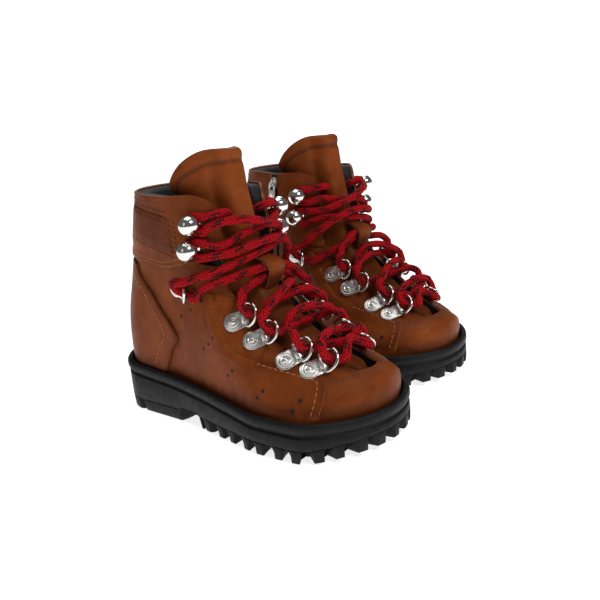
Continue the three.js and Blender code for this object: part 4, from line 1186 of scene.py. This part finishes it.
def tongue():
    spread, t = np.meshgrid(np.linspace(1, -1, 65), np.r_[np.linspace(0, 0.75, 60, endpoint=False),
                                                          np.linspace(0.75, 1, 40)])
    u, v = tongue_place(spread, t)
    inner, outer = tongue_layer(np.abs(u), v)
    to_side = (1 - np.abs(spread)) * table(TONGUE_HALF, v) * PERIMETER * 0.8
    to_top = (tongue_top(spread) - v) * COLLAR_HEIGHT
    to_edge = np.minimum(np.minimum(to_side, to_top), t * 60 + 0.2)
    plump = rounding((to_edge + 0.05) / 3.2)
    middle = (inner + outer) / 2
    sewn_in = 0.55 * np.exp(-((to_top - 7.5) / 1.3) ** 2) * smooth(to_top, 3, 6) * (v > 0.9)
    puff = 0.5 * np.exp(-((to_top - 3.5) / 2.2) ** 2) * (v > 0.9)
    outer = middle + (outer - middle) * (0.2 + 0.8 * plump) - sewn_in + puff
    inner = middle + (inner - middle) * (0.2 + 0.8 * plump)
    # painted shade: darker along the sewn-in line below the top edge, along the sides, and on the lower part
    # under the laces
    shade = np.maximum(np.exp(-((to_top - 7.5) / 1.2) ** 2), 0.6 * np.exp(-to_side / 3))
    shade = np.maximum(shade, 0.8 * (1 - smooth(v, 0.55, 0.85)))
    return beveled(shell(surface(u, v, outer), surface(u, v, inner), shade=0.7 * shade), 0.5, 60, 2)


def declare_padded(obj, side):
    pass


hinge = surface(0.0, TONGUE_SPLIT, -5).ravel()
TONGUE_BEND = (hinge + [0, 0, -5], hinge + [0, 0, 9])
piece("padded_tongue", tongue(), LEATHERS, body="tongue_upper", nodes=["tongue_lower", "tongue_upper"],
      bend=TONGUE_BEND, after=declare_padded)


def tongue_stitches():
    spread = np.linspace(0.93, -0.93, 60)
    v = tongue_top(spread) - 7.5 / COLLAR_HEIGHT
    side_v = np.linspace(0.93, v[0], 8)[:-1]
    spread = np.r_[np.full(7, 0.93), spread, np.full(7, -0.93)]
    v = np.r_[side_v, v, side_v[::-1]]
    u = spread * table(TONGUE_HALF, v)
    outer = tongue_layer(np.abs(u), v)[1]
    return sewn_along(u, v, outer - 0.45, length=2.0, gap=1.0, thick=0.26)


piece("tongue_stitching", tongue_stitches(), [BROWN], body="tongue_upper", bend=TONGUE_BEND)


def keeper():
    """The leather loop on the tongue that the lace runs under."""
    t = np.linspace(0, 1, 34)
    v = 0.628 + 0.122 * t
    height = -1.2 + 12.4 * np.sin(np.pi * t) ** 0.55
    u = np.stack([0.022 - 0.044 * k / 8 + 0 * v for k in range(9)], 1)
    vv = np.broadcast_to(v[:, None], u.shape)
    hh = np.broadcast_to(height[:, None], u.shape)
    lines = [surface(u[:, 0], v, height), surface(u[:, -1], v, height)]
    top = surface(u, vv, hh)
    along = np.gradient(top[:, 4], axis=0)
    across = top[:, -1] - top[:, 0]
    out = unit(np.cross(across, along))
    if (out[17] @ (surface(0.0, 0.69, 1).ravel() - surface(0.0, 0.69, 0).ravel())) < 0:
        out = -out
    bottom = top - 1.3 * out[:, None]
    # painted shade along the keeper's two long edges
    shade = sum(np.exp(-nearest(top, line) / 1.5) for line in lines)
    return beveled(shell(top, bottom, shade=0.5 * shade), 0.35)


piece("lace_keeper", keeper(), LEATHERS)

# ---------------------------------------------------------------- fittings
RING_AIMS = [v + 0.04 if i == 0 else (v + RING_PLACES[i - 1][1]) / 2 for i, (_, v) in enumerate(RING_PLACES)]


def ring_places(medial):
    return [MEDIAL_TOP_RING, *RING_PLACES[1:]] if medial else RING_PLACES


def ring_fittings(medial):
    return [Fitting(place, medial, aim) for place, aim in zip(ring_places(medial), RING_AIMS)]


def hook_fittings(medial):
    return [Fitting(p, medial, p[1] - 0.01) for p in HOOK_PLACES]


RIVET = [(0.05, 2.75), (0.7, 2.68), (1.2, 2.45), (1.5, 2.1), (1.6, 1.75), (1.85, 1.68), (2.05, 1.9),
         (2.45, 2.0), (2.85, 1.85), (3.05, 1.45), (3.05, 1.2)]


def clip(at):
    arc = [(5.1 * math.cos(a), 5.1 * math.sin(a)) for a in np.linspace(math.pi / 2 - 0.35, 1.5 * math.pi
                                                                       + 0.35, 22)]
    plate = slab(at, [(6.6, 4.5), (3.6, 4.75)] + arc + [(3.6, -4.75), (6.6, -4.5)], 0.5, 1.4, 0.22)
    dished = lathe(at, [(0.4, 1.36), (3.6, 1.36), (3.8, 1.5), (4.1, 1.52), (4.3, 1.38), (4.3, 0.9),
                        (0.4, 0.9)][::-1], 28)
    ribs = []
    for x in (4.35, 5.35):
        line = [at.at(x, y, 1.42) for y in np.linspace(-3.9, 3.9, 7)]
        ribs.append(tube(line, [0.12, 0.36, 0.4, 0.4, 0.4, 0.36, 0.12], 8))
    barrel_profile = [(1.16, -3.6), (1.75, -3.6), (1.92, -3.4), (1.92, 3.4), (1.75, 3.6), (1.16, 3.6)]
    sides = 20
    points, faces = [], []
    for r, y in barrel_profile:
        for k in range(sides):
            a = 2 * math.pi * k / sides
            points.append((RIVET_TO_BAR + r * math.cos(a), y, BAR_HEIGHT + r * math.sin(a)))
    rings = len(barrel_profile)
    for i in range(rings):
        for k in range(sides):
            a, b, n = i * sides, ((i + 1) % rings) * sides, (k + 1) % sides
            faces.append((a + k, a + n, b + n, b + k))
    barrel = facing_out(Shape(at.lines(points), faces))
    return merged([plate, dished, *ribs, barrel, lathe(at, RIVET[::-1], 24)])


def stay(places, medial, low, high, half_width):
    """The strip of metal under the leather that the rivets are clinched to."""
    line, _ = along_length(np.array(places) * [PERIMETER, 125], step=2.5)
    line = line / [PERIMETER, 125]
    run = unit(line[1] - line[0]), unit(line[-1] - line[-2])
    line = np.vstack([line[0] - run[0] * 2.5 / 180, line, line[-1] + run[1] * 2.5 / 180])
    u = np.stack([line[:, 0] + in_u(half_width) * k for k in (-1, -0.5, 0, 0.5, 1)], 1)
    v = np.broadcast_to(line[:, 1:2], u.shape)
    at = 1 - u if medial else u
    return beveled(shell(surface(at, v, high), surface(at, v, low)), 0.12)


def clip_row(medial):
    return merged([stay(ring_places(medial), medial, -3.0, -2.5, 2.6),
                   *(clip(f) for f in ring_fittings(medial))])


def ball_hook(at):
    angles = np.linspace(0.34, math.pi - 0.01, 22)
    ball = [(HOOK_BALL * math.sin(a), HOOK_BALL_HEIGHT - HOOK_BALL * math.cos(a)) for a in angles]
    profile = [(3.3, OVERLAY_TOP + 0.05), (3.4, OVERLAY_TOP + 0.45), (3.15, OVERLAY_TOP + 0.75),
               (2.1, OVERLAY_TOP + 0.95),
               (1.75, OVERLAY_TOP + 1.4), (HOOK_NECK, OVERLAY_TOP + 2.2), (HOOK_NECK, 5.3), *ball]
    arm = slab(at, [(1.2, 1.5), (-3.9, 1.9), (-4.6, 1.2), (-4.6, -1.2), (-3.9, -1.9), (1.2, -1.5)],
               OVERLAY_TOP + 0.05,
               OVERLAY_TOP + 0.6, 0.2)
    return merged([lathe(at, profile, 32), arm])


def hook_row(medial):
    return merged([stay(HOOK_PLACES, medial, -1.3, -0.7, 3), *(ball_hook(f) for f in hook_fittings(medial))])


RING_OUTLINE = [(0, -4.4), (0, 0), (0, 4.4), (1.1, 5.7), (3.4, 5.9), (6.2, 5), (8.4, 2.7), (9.2, 0),
                (8.4, -2.7), (6.2, -5), (3.4, -5.9), (1.1, -5.7)]


def d_ring(fitting):
    tilted = fitting.tilted()
    line = catmull([(x, y, 0) for x, y in RING_OUTLINE], 6, closed=True)
    return tube(tilted.lines(line), 0.82, 12, closed=True)


for word, is_medial in (("lateral", False), ("medial", True)):
    piece(f"{word}_ring_clips", clip_row(is_medial), [SATIN_NICKEL], nodes=[f"{word}_clips"])
    piece(f"{word}_ball_hooks", hook_row(is_medial), [NICKEL], nodes=[f"{word}_hooks"])
    for number, fitting in enumerate(ring_fittings(is_medial), 1):
        node = f"{word}_ring_{number}"
        piece(f"{word}_d_ring_{number}", d_ring(fitting), [NICKEL], body=node, nodes=[node])


# ---------------------------------------------------------------- zip
class ZipFrame(Fitting):
    def __init__(self):
        top, bottom = (surface(zip_at(v), v).ravel() for v in (0.93, 0.54))
        self.y = unit(top - bottom)
        z = normal_at(np.array([float(zip_at(0.93))]), np.array([0.93]))[0]
        self.z = unit(z - self.y * (z @ self.y))
        self.x = np.cross(self.y, self.z)
        self.origin = top + self.z * 0.6


ZIP_FRAME = ZipFrame()


def box_shape(at, x, y, z, bevel=0.18):
    return slab(at, [(x[0], y[0]), (x[1], y[0]), (x[1], y[1]), (x[0], y[1])], z[0], z[1], bevel)


def zip_tape():
    v = np.linspace(0.42, 0.972, 60)
    u = np.stack([zip_at(v) + in_u(4.6) * (k - 4) / 4 for k in range(9)], 1)
    vv = np.broadcast_to(v[:, None], u.shape)
    return beveled(shell(surface(u, vv, -2.1), surface(u, vv, -2.8)), 0.12)


def zip_teeth():
    line = surface(zip_at(np.linspace(0.43, 0.965, 120)), np.linspace(0.43, 0.965, 120), -2.05)
    up = surface(zip_at(np.linspace(0.43, 0.965, 120)), np.linspace(0.43, 0.965, 120), -1.0) - line
    p, run = along_length(line, step=0.85)
    up = unit(along_length(up, count=len(p))[0])
    ahead = unit(np.gradient(p, axis=0))
    shapes = []
    for i in range(len(p)):
        at = object.__new__(Fitting)
        at.origin, at.y, at.z = p[i], ahead[i], unit(up[i] - ahead[i] * (up[i] @ ahead[i]))
        at.x = np.cross(at.y, at.z)
        s = 1 if i % 2 else -1
        x = sorted((s * -0.35, s * 1.55))
        shapes.append(slab(at, [(x[0], -0.34), (x[1], -0.34), (x[1], 0.34), (x[0], 0.34)], 0, 1.05, 0))
    return merged(shapes)


def zip_slider():
    at = ZIP_FRAME
    body = slab(at, [(-1.5, 3.6), (1.5, 3.6), (2.1, 2.4), (1.9, -3.4), (1.2, -3.7), (-1.2, -3.7),
                     (-1.9, -3.4), (-2.1, 2.4)],
                -1.5, 1.4, 0.3)
    arch_line = [at.at(0, y, z) for y, z in ((2.0, 1.0), (2.1, 2.6), (1.6, 3.8), (0.6, 4.3), (-0.6, 4.3),
                                             (-1.6, 3.8), (-2.1, 2.6),
                                             (-2.0, 1.0))]
    return merged([body, tube(catmull(arch_line, 5), 0.62, 10)])


def zip_pull():
    at = ZIP_FRAME
    z = (2.15, 3.25)
    bar = tube([at.at(x, 0, 2.7) for x in np.linspace(-2.6, 2.6, 9)], 0.55, 10)
    arms = [box_shape(at, (s * 2.6, s * 1.7) if s < 0 else (1.7, 2.6), (-4.4, 0.3), z) for s in (-1, 1)]
    tab = slab(at, [(-2.6, -4.2), (-2.6, -13.6), (-1.8, -14.8), (1.8, -14.8), (2.6, -13.6), (2.6, -4.2)],
               *z, 0.3)
    ridge = slab(at, [(-1.5, -5.6), (-1.5, -13.0), (1.5, -13.0), (1.5, -5.6)], 3.1, 3.5, 0.18)
    return merged([bar, *arms, tab, ridge])


piece("zip_tape_cloth", zip_tape(), [TAPE, TAPE], nodes=["zip_tape"])
piece("zip_teeth", zip_teeth(), [TEETH])
piece("zip_slider_body", zip_slider(), [SATIN_NICKEL], body="zip_slider", nodes=["zip_slider"])
piece("zip_pull_tab", zip_pull(), [SATIN_NICKEL], body="zip_pull", nodes=["zip_pull"])

# ---------------------------------------------------------------- lace
HOOK_LACE_HEIGHT = OVERLAY_TOP + LACE_RADIUS + 0.45
# the free spans of the lace as (u, v, height), lateral side positive, from each ring or hook up to the
# one across; 0 is the lower hook
TOE_SPAN = [(0.012, 0.262, 8.5), (0, 0.272, 9.5), (-0.012, 0.262, 8.5)]
FROM_LATERAL = {
    5: [(0.06, 0.29, 12), (0.03, 0.325, 12), (-0.005, 0.342, 8.5)],
    4: [(0.07, 0.4, 9.5), (0.045, 0.432, 7), (0.015, 0.45, 4.5), (-0.015, 0.45, 4.2)],
    3: [(0.085, 0.475, 12), (0.07, 0.505, 12.5), (0.042, 0.548, 12.5), (0.01, 0.585, 12), (-0.02, 0.6, 9.5),
        (-0.05, 0.57, 5.5)],
    2: [(0.1, 0.56, 11.5), (0.096, 0.59, 11), (0.072, 0.628, 9.5), (0.04, 0.655, 6), (0, 0.672, 3),
        (-0.035, 0.67, 5),
        (-0.06, 0.645, 6), (-0.1, 0.615, 5.6)],
    1: [(0.185, 0.65, 9.5), (0.16, 0.675, 8), (0.13, 0.695, 7), (0.088, 0.725, 6.5), (0.045, 0.75, 5.5),
        (0, 0.765, 5),
        (-0.05, 0.773, 5.5), (-0.09, 0.78, 6)],
    0: [(0.1, 0.795, 5.6), (0.07, 0.812, 5.5), (0.038, 0.832, 5), (0, 0.842, 4.5), (-0.05, 0.85, 5),
        (-0.09, 0.86, 5.8)],
}
FROM_MEDIAL = {
    5: [(-0.05, 0.27, 9), (-0.015, 0.295, 5)],
    4: [(-0.062, 0.375, 11.5), (-0.04, 0.425, 12.5), (-0.005, 0.462, 12.5), (0.025, 0.47, 12),
        (0.048, 0.455, 10.5),
        (0.058, 0.435, 8)],
    3: [(-0.08, 0.485, 11), (-0.055, 0.53, 11), (-0.02, 0.56, 8), (0.03, 0.56, 5.5), (0.06, 0.545, 6.5)],
    2: [(-0.095, 0.57, 10), (-0.08, 0.62, 9.5), (-0.05, 0.67, 8.5), (-0.02, 0.695, 7.6), (0.02, 0.698, 7.5),
        (0.06, 0.69, 8),
        (0.11, 0.665, 7), (0.15, 0.635, 6)],
    1: [(-0.16, 0.64, 9), (-0.13, 0.69, 8.5), (-0.09, 0.745, 9), (-0.045, 0.785, 10), (0, 0.795, 10),
        (0.045, 0.785, 9),
        (0.083, 0.768, 7.5), (0.115, 0.762, 6)],
    0: [(-0.09, 0.81, 6.5), (-0.05, 0.83, 9), (-0.01, 0.848, 10), (0.018, 0.866, 10), (0.05, 0.878, 9),
        (0.085, 0.877, 7),
        (0.115, 0.862, 6)],
}
TUCKED = [(0.1, 0.905, 5.6), (0.078, 0.908, 4.6), (0.065, 0.906, 1.5), (0.062, 0.902, -2),
          (0.067, 0.899, -5.4), (0.078, 0.897, -7.5), (0.095, 0.895, -7.8), (0.15, 0.88, -7.8)]


def lace_half(medial):
    """The route's points from the toe to one tucked end, starting at the last ring of one side."""
    points = []

    def through_ring(fitting, up):
        at = fitting.tilted().at
        for x, y, z in ((11.2, -2.4, -4.5), (9.2, -2, -4.6), (6.4, -1.4, -3.2), (4.3, -0.3, -0.2),
                        (4.2, 1, 2.4),
                        (4.8, 3.2, 4.3), (6.2, 6, 5.1)):
            points.append(at(x, y * up, z))

    def round_hook(fitting, up):
        turn = HOOK_NECK + LACE_RADIUS + 0.3
        for x, y in ((5.5, -turn), (1.5, -turn), (-2.6, -turn + 1.2), (-turn, 0), (-2.6, turn - 1.2),
                     (1.5, turn), (5.5, turn)):
            points.append(fitting.at(x, y * up, HOOK_LACE_HEIGHT))

    def across(stops):
        points.extend(surface(u, v, height).ravel() for u, v, height in stops)

    for number in (5, 4, 3, 2, 1):
        through_ring(ring_fittings(medial)[number - 1], -1 if medial else 1)
        across((FROM_MEDIAL if medial else FROM_LATERAL)[number])
        medial = not medial
    round_hook(hook_fittings(medial)[1], -1 if medial else 1)
    across((FROM_MEDIAL if medial else FROM_LATERAL)[0])
    medial = not medial
    round_hook(hook_fittings(medial)[0], -1 if medial else 1)
    across([(-u if medial else u, v, height) for u, v, height in TUCKED])
    return points


LACE_ROUTE = lace_half(False)[::-1] + [surface(*stop).ravel() for stop in TOE_SPAN] + lace_half(True)
LACE_LINE, LACE_RUN = along_length(catmull(LACE_ROUTE, 12), step=0.55)
LACE_LENGTH = LACE_RUN[-1]
kernel = np.hanning(9) / np.hanning(9).sum()
SMOOTH_LINE = np.stack([np.convolve(np.pad(LACE_LINE[:, k], 4, mode="edge"), kernel, "valid")
                        for k in range(3)], 1)


def lace():
    shape = tube(SMOOTH_LINE, 2.15, 24)
    run, turn = shape.coords[:, 0], shape.coords[:, 1]
    centre = np.repeat(SMOOTH_LINE, 24, axis=0)
    weave = np.abs(np.sin(np.pi * (0.42 * run + 8 * turn))) * np.abs(np.sin(np.pi * (0.42 * run - 8 * turn)))
    shape.points = centre + (shape.points - centre) * (0.97 + 0.09 * weave)[:, None]
    return shape


piece("lace_cord", lace(), [LACE], nodes=["lace"])


# ---------------------------------------------------------------- stitching and perforations
def parallel(line_u, v, shift):
    return list(zip(line_u + in_u(shift), v))


def orange_rows():
    rows = []
    v = np.linspace(0.03, 0.585, 60)
    for medial in (False, True):
        flip = other_side if medial else list
        rows.append(sewn(flip(parallel(seam_at(v), v, -0.2)), 1.16, length=2.5, gap=0.7, thick=0.33))
        edge_v = np.linspace(0.05, 0.6, 50)
        rows.append(sewn(flip(parallel(table(COUNTER_EDGE, edge_v), edge_v, 4.4)), 1.5, length=2.5, gap=0.7,
                         thick=0.33))
    for inset in (2.0, 4.3):
        u, v = cuff_grid(inset)
        rows.append(sewn_along(u[0], v[0], 2.0, length=2.2, gap=0.75, thick=0.3))
    return merged(rows)


def brown_rows():
    rows = []
    u, v = cuff_grid(3.6)
    for cu, cv in ((u[-1], v[-1]), (u[::-1, 0], v[::-1, 0])):
        rows.append(sewn_along(cu, cv, 2.02, length=2.0, gap=0.9, thick=0.24))
    u, v = medial_cuff_grid(3.0)
    for cu, cv in ((u[-1], v[-1]), (u[::-1, 0], v[::-1, 0]), (u[0], v[0])):
        rows.append(sewn_along(cu, cv, 2.02, length=2.0, gap=0.9, thick=0.24))
    for shift in (0.0, 0.011):
        arc = [(0.1, 0.133 - shift), (0.079, 0.142 - shift), (0.062, 0.148 - shift), (0.03, 0.154 - shift),
               (0, 0.156 - shift)]
        arc += [(-u_, v_) for u_, v_ in arc[-2::-1]]
        rows.append(sewn(arc, 0.02, length=1.9, gap=0.9, thick=0.24))
    s = np.full(20, -0.04)
    t = np.linspace(-0.05, 1.05, 20)
    for shift in (0.0, -0.09):
        pu, pv = patch_at(s + shift, t)
        rows.append(sewn(list(zip(pu, pv)), 2.48, length=2.0, gap=0.8, thick=0.27))
    for t_edge in (-0.1, 1.12):
        pu, pv = patch_at(np.linspace(-0.04, 1.0, 24), np.full(24, t_edge))
        rows.append(sewn(list(zip(pu, pv)), 2.5, length=2.0, gap=0.8, thick=0.25))
    v = np.linspace(0.67, 0.915, 24)
    for s in (-4.4, 4.4):
        height = 3.65 + 3.0 * np.sin(np.pi * (v - 0.655) / 0.275) ** 0.8
        rows.append(sewn_along(0.5 + in_u(s) + 0 * v, v, height, length=1.9, gap=0.9, thick=0.24))
    return merged(rows)


PERFORATIONS = [(0.19, 0.55), (0.23, 0.47), (0.26, 0.405), (0.2, 0.355), (0.24, 0.245), (0.222, 0.295),
                (0.19, 0.205), (0.2175, 0.13), (0.205, 0.165), (0.1575, 0.145), (0.1725, 0.105), (0.18, 0.08),
                (0.13, 0.08), (0.1375, 0.05)]
MEDIAL_PERFORATIONS = PERFORATIONS[3:]


def perforations():
    """Small punched holes, each a dark cup with a rim that stands a hair over the leather; the cup's dark
    colour is painted shade of the hole's depth, partly the dark lining behind.
    """
    shapes = []
    for places, medial in ((PERFORATIONS, False), (MEDIAL_PERFORATIONS, True)):
        for u, v in places:
            at = Fitting((u, v), medial, v + 0.05)
            lifted = 1.15 * float(1 - smooth(abs(u - float(seam_at(v))) * PERIMETER, 2.4,
                                             8)) if u > seam_at(v) else 0.0
            z = lifted + 0.04
            shapes.append(lathe(at, [(0.05, z + 0.02), (0.55, z + 0.03), (0.85, z + 0.06), (0.98, z - 0.02),
                                     (1.0, z - 0.3), (0.05, z - 0.3)], 14))
    return merged(shapes)


piece("orange_stitching", orange_rows(), [ORANGE])
piece("brown_stitching", brown_rows(), [BROWN])
piece("perforation_holes", perforations(), [HOLE])

# ---------------------------------------------------------------- floor, light and camera
floor_mesh = bpy.data.meshes.new("studio_floor")
floor_mesh.from_pydata([(-4, -4, 0), (4, -4, 0), (4, 4, 0), (-4, 4, 0)], [], [(0, 1, 2, 3)])
floor = bpy.data.objects.new("studio_floor", floor_mesh)
paper = Look("white_paper", Roughness=0.9, Emission_Strength=1.0)
far = paper.node("VectorMath", {0: paper.where()}, operation="LENGTH").outputs["Value"]
paper.put(paper.shader.inputs["Emission Color"], paper.blend(paper.spread(far, 0.35, 0.9), (0.8, 0.8, 0.8),
                                                             (1, 1, 1)))
floor_mesh.materials.append(paper.set(Base_Color=paper.blend(paper.spread(paper.noise(3, 2), 0.3, 0.7),
                                                             (0.86,) * 3,
                                                             (0.9,) * 3)))
bpy.context.scene.collection.objects.link(floor)


def softbox(name, place, target, size, power, color=(1, 1, 1)):
    light = bpy.data.lights.new(name, "AREA")
    light.shape = "RECTANGLE"
    light.size, light.size_y = size
    light.energy = power
    light.color = color
    obj = bpy.data.objects.new(name, light)
    obj.location = place
    obj.rotation_euler = (Vector(target) - Vector(place)).to_track_quat("-Z", "Y").to_euler()
    bpy.context.scene.collection.objects.link(obj)
    return obj


# a high key light from the toe side, with weak lights beside, behind and above
softbox("key_softbox", (-0.08, -0.78, 0.86), (0, 0, 0.05), (0.45, 0.3), 4.6)
softbox("side_softbox", (-0.95, 0.05, 0.5), (0, 0, 0.07), (0.3, 0.5), 0.3)
softbox("rim_softbox", (0.75, 0.5, 0.85), (0, 0, 0.07), (0.4, 0.4), 1.8)
softbox("top_softbox", (0.0, 0.1, 1.1), (0, 0, 0.05), (0.8, 0.8), 3.2)

# a white dome that only the camera sees, so that the metal mirrors a dim room and not a white one
dome_mesh = bpy.data.meshes.new("white_backdrop")
DOME_RADIUS, DOME_SIDES, DOME_ROWS = 3.9, 32, 16
dome_points = [(DOME_RADIUS * math.sin(math.pi * j / DOME_ROWS) * math.cos(2 * math.pi * i / DOME_SIDES),
                DOME_RADIUS * math.sin(math.pi * j / DOME_ROWS) * math.sin(2 * math.pi * i / DOME_SIDES),
                DOME_RADIUS * math.cos(math.pi * j / DOME_ROWS))
               for j in range(1, DOME_ROWS) for i in range(DOME_SIDES)]
dome_faces = [(j * DOME_SIDES + i, j * DOME_SIDES + (i + 1) % DOME_SIDES, (j + 1) * DOME_SIDES
               + (i + 1) % DOME_SIDES,
               (j + 1) * DOME_SIDES + i) for j in range(DOME_ROWS - 2) for i in range(DOME_SIDES)]
dome_mesh.from_pydata(dome_points, [], dome_faces)
glow = Look("backdrop_glow", Roughness=1.0, Emission_Strength=1.1)
tone = glow.blend(glow.spread(glow.noise(2, 1), 0.3, 0.7), (0.99, 0.99, 0.99), (1, 1, 1))
glow.put(glow.shader.inputs["Emission Color"], tone)
dome_mesh.materials.append(glow.set(Base_Color=tone))
dome = bpy.data.objects.new("white_backdrop", dome_mesh)
for rays in ("visible_diffuse", "visible_glossy", "visible_transmission", "visible_volume_scatter",
             "visible_shadow"):
    setattr(dome, rays, False)
bpy.context.scene.collection.objects.link(dome)

world = bpy.data.worlds.new("studio")
bpy.context.scene.world = world
world.use_nodes = True
world.node_tree.nodes["Background"].inputs["Color"].default_value = (1, 1, 1, 1)
world.node_tree.nodes["Background"].inputs["Strength"].default_value = 0.12

CAMERA_AZIMUTH = math.radians(-49.1)
CAMERA_ELEVATION = math.radians(15.1)
CAMERA_ROLL = math.radians(-5.6)
CAMERA_DISTANCE = 388.6
CAMERA_TARGET = (30.99, -25.25, 55.5)
camera_data = bpy.data.cameras.new("photo_camera")
camera = bpy.data.objects.new("photo_camera", camera_data)
bpy.context.scene.collection.objects.link(camera)
back = Vector((math.sin(CAMERA_AZIMUTH) * math.cos(CAMERA_ELEVATION), -math.cos(CAMERA_AZIMUTH)
               * math.cos(CAMERA_ELEVATION),
               math.sin(CAMERA_ELEVATION)))
right = Vector((0, 0, 1)).cross(back).normalized()
up = back.cross(right)
rolled_right = right * math.cos(CAMERA_ROLL) + up * math.sin(CAMERA_ROLL)
rolled_up = -right * math.sin(CAMERA_ROLL) + up * math.cos(CAMERA_ROLL)
place = Vector(to_pair([CAMERA_TARGET], "right")[0]) + back * (CAMERA_DISTANCE / 1000)
rotation = Matrix((rolled_right, rolled_up, back)).transposed()
camera.matrix_world = Matrix.Translation(place) @ rotation.to_4x4()
camera_data.sensor_width = 36
camera_data.lens = 41.24
camera_data.shift_x = -0.0303
camera_data.shift_y = 0.0128
camera_data.clip_start = 0.01
bpy.context.scene.camera = camera
bpy.context.scene.view_settings.view_transform = "Standard"
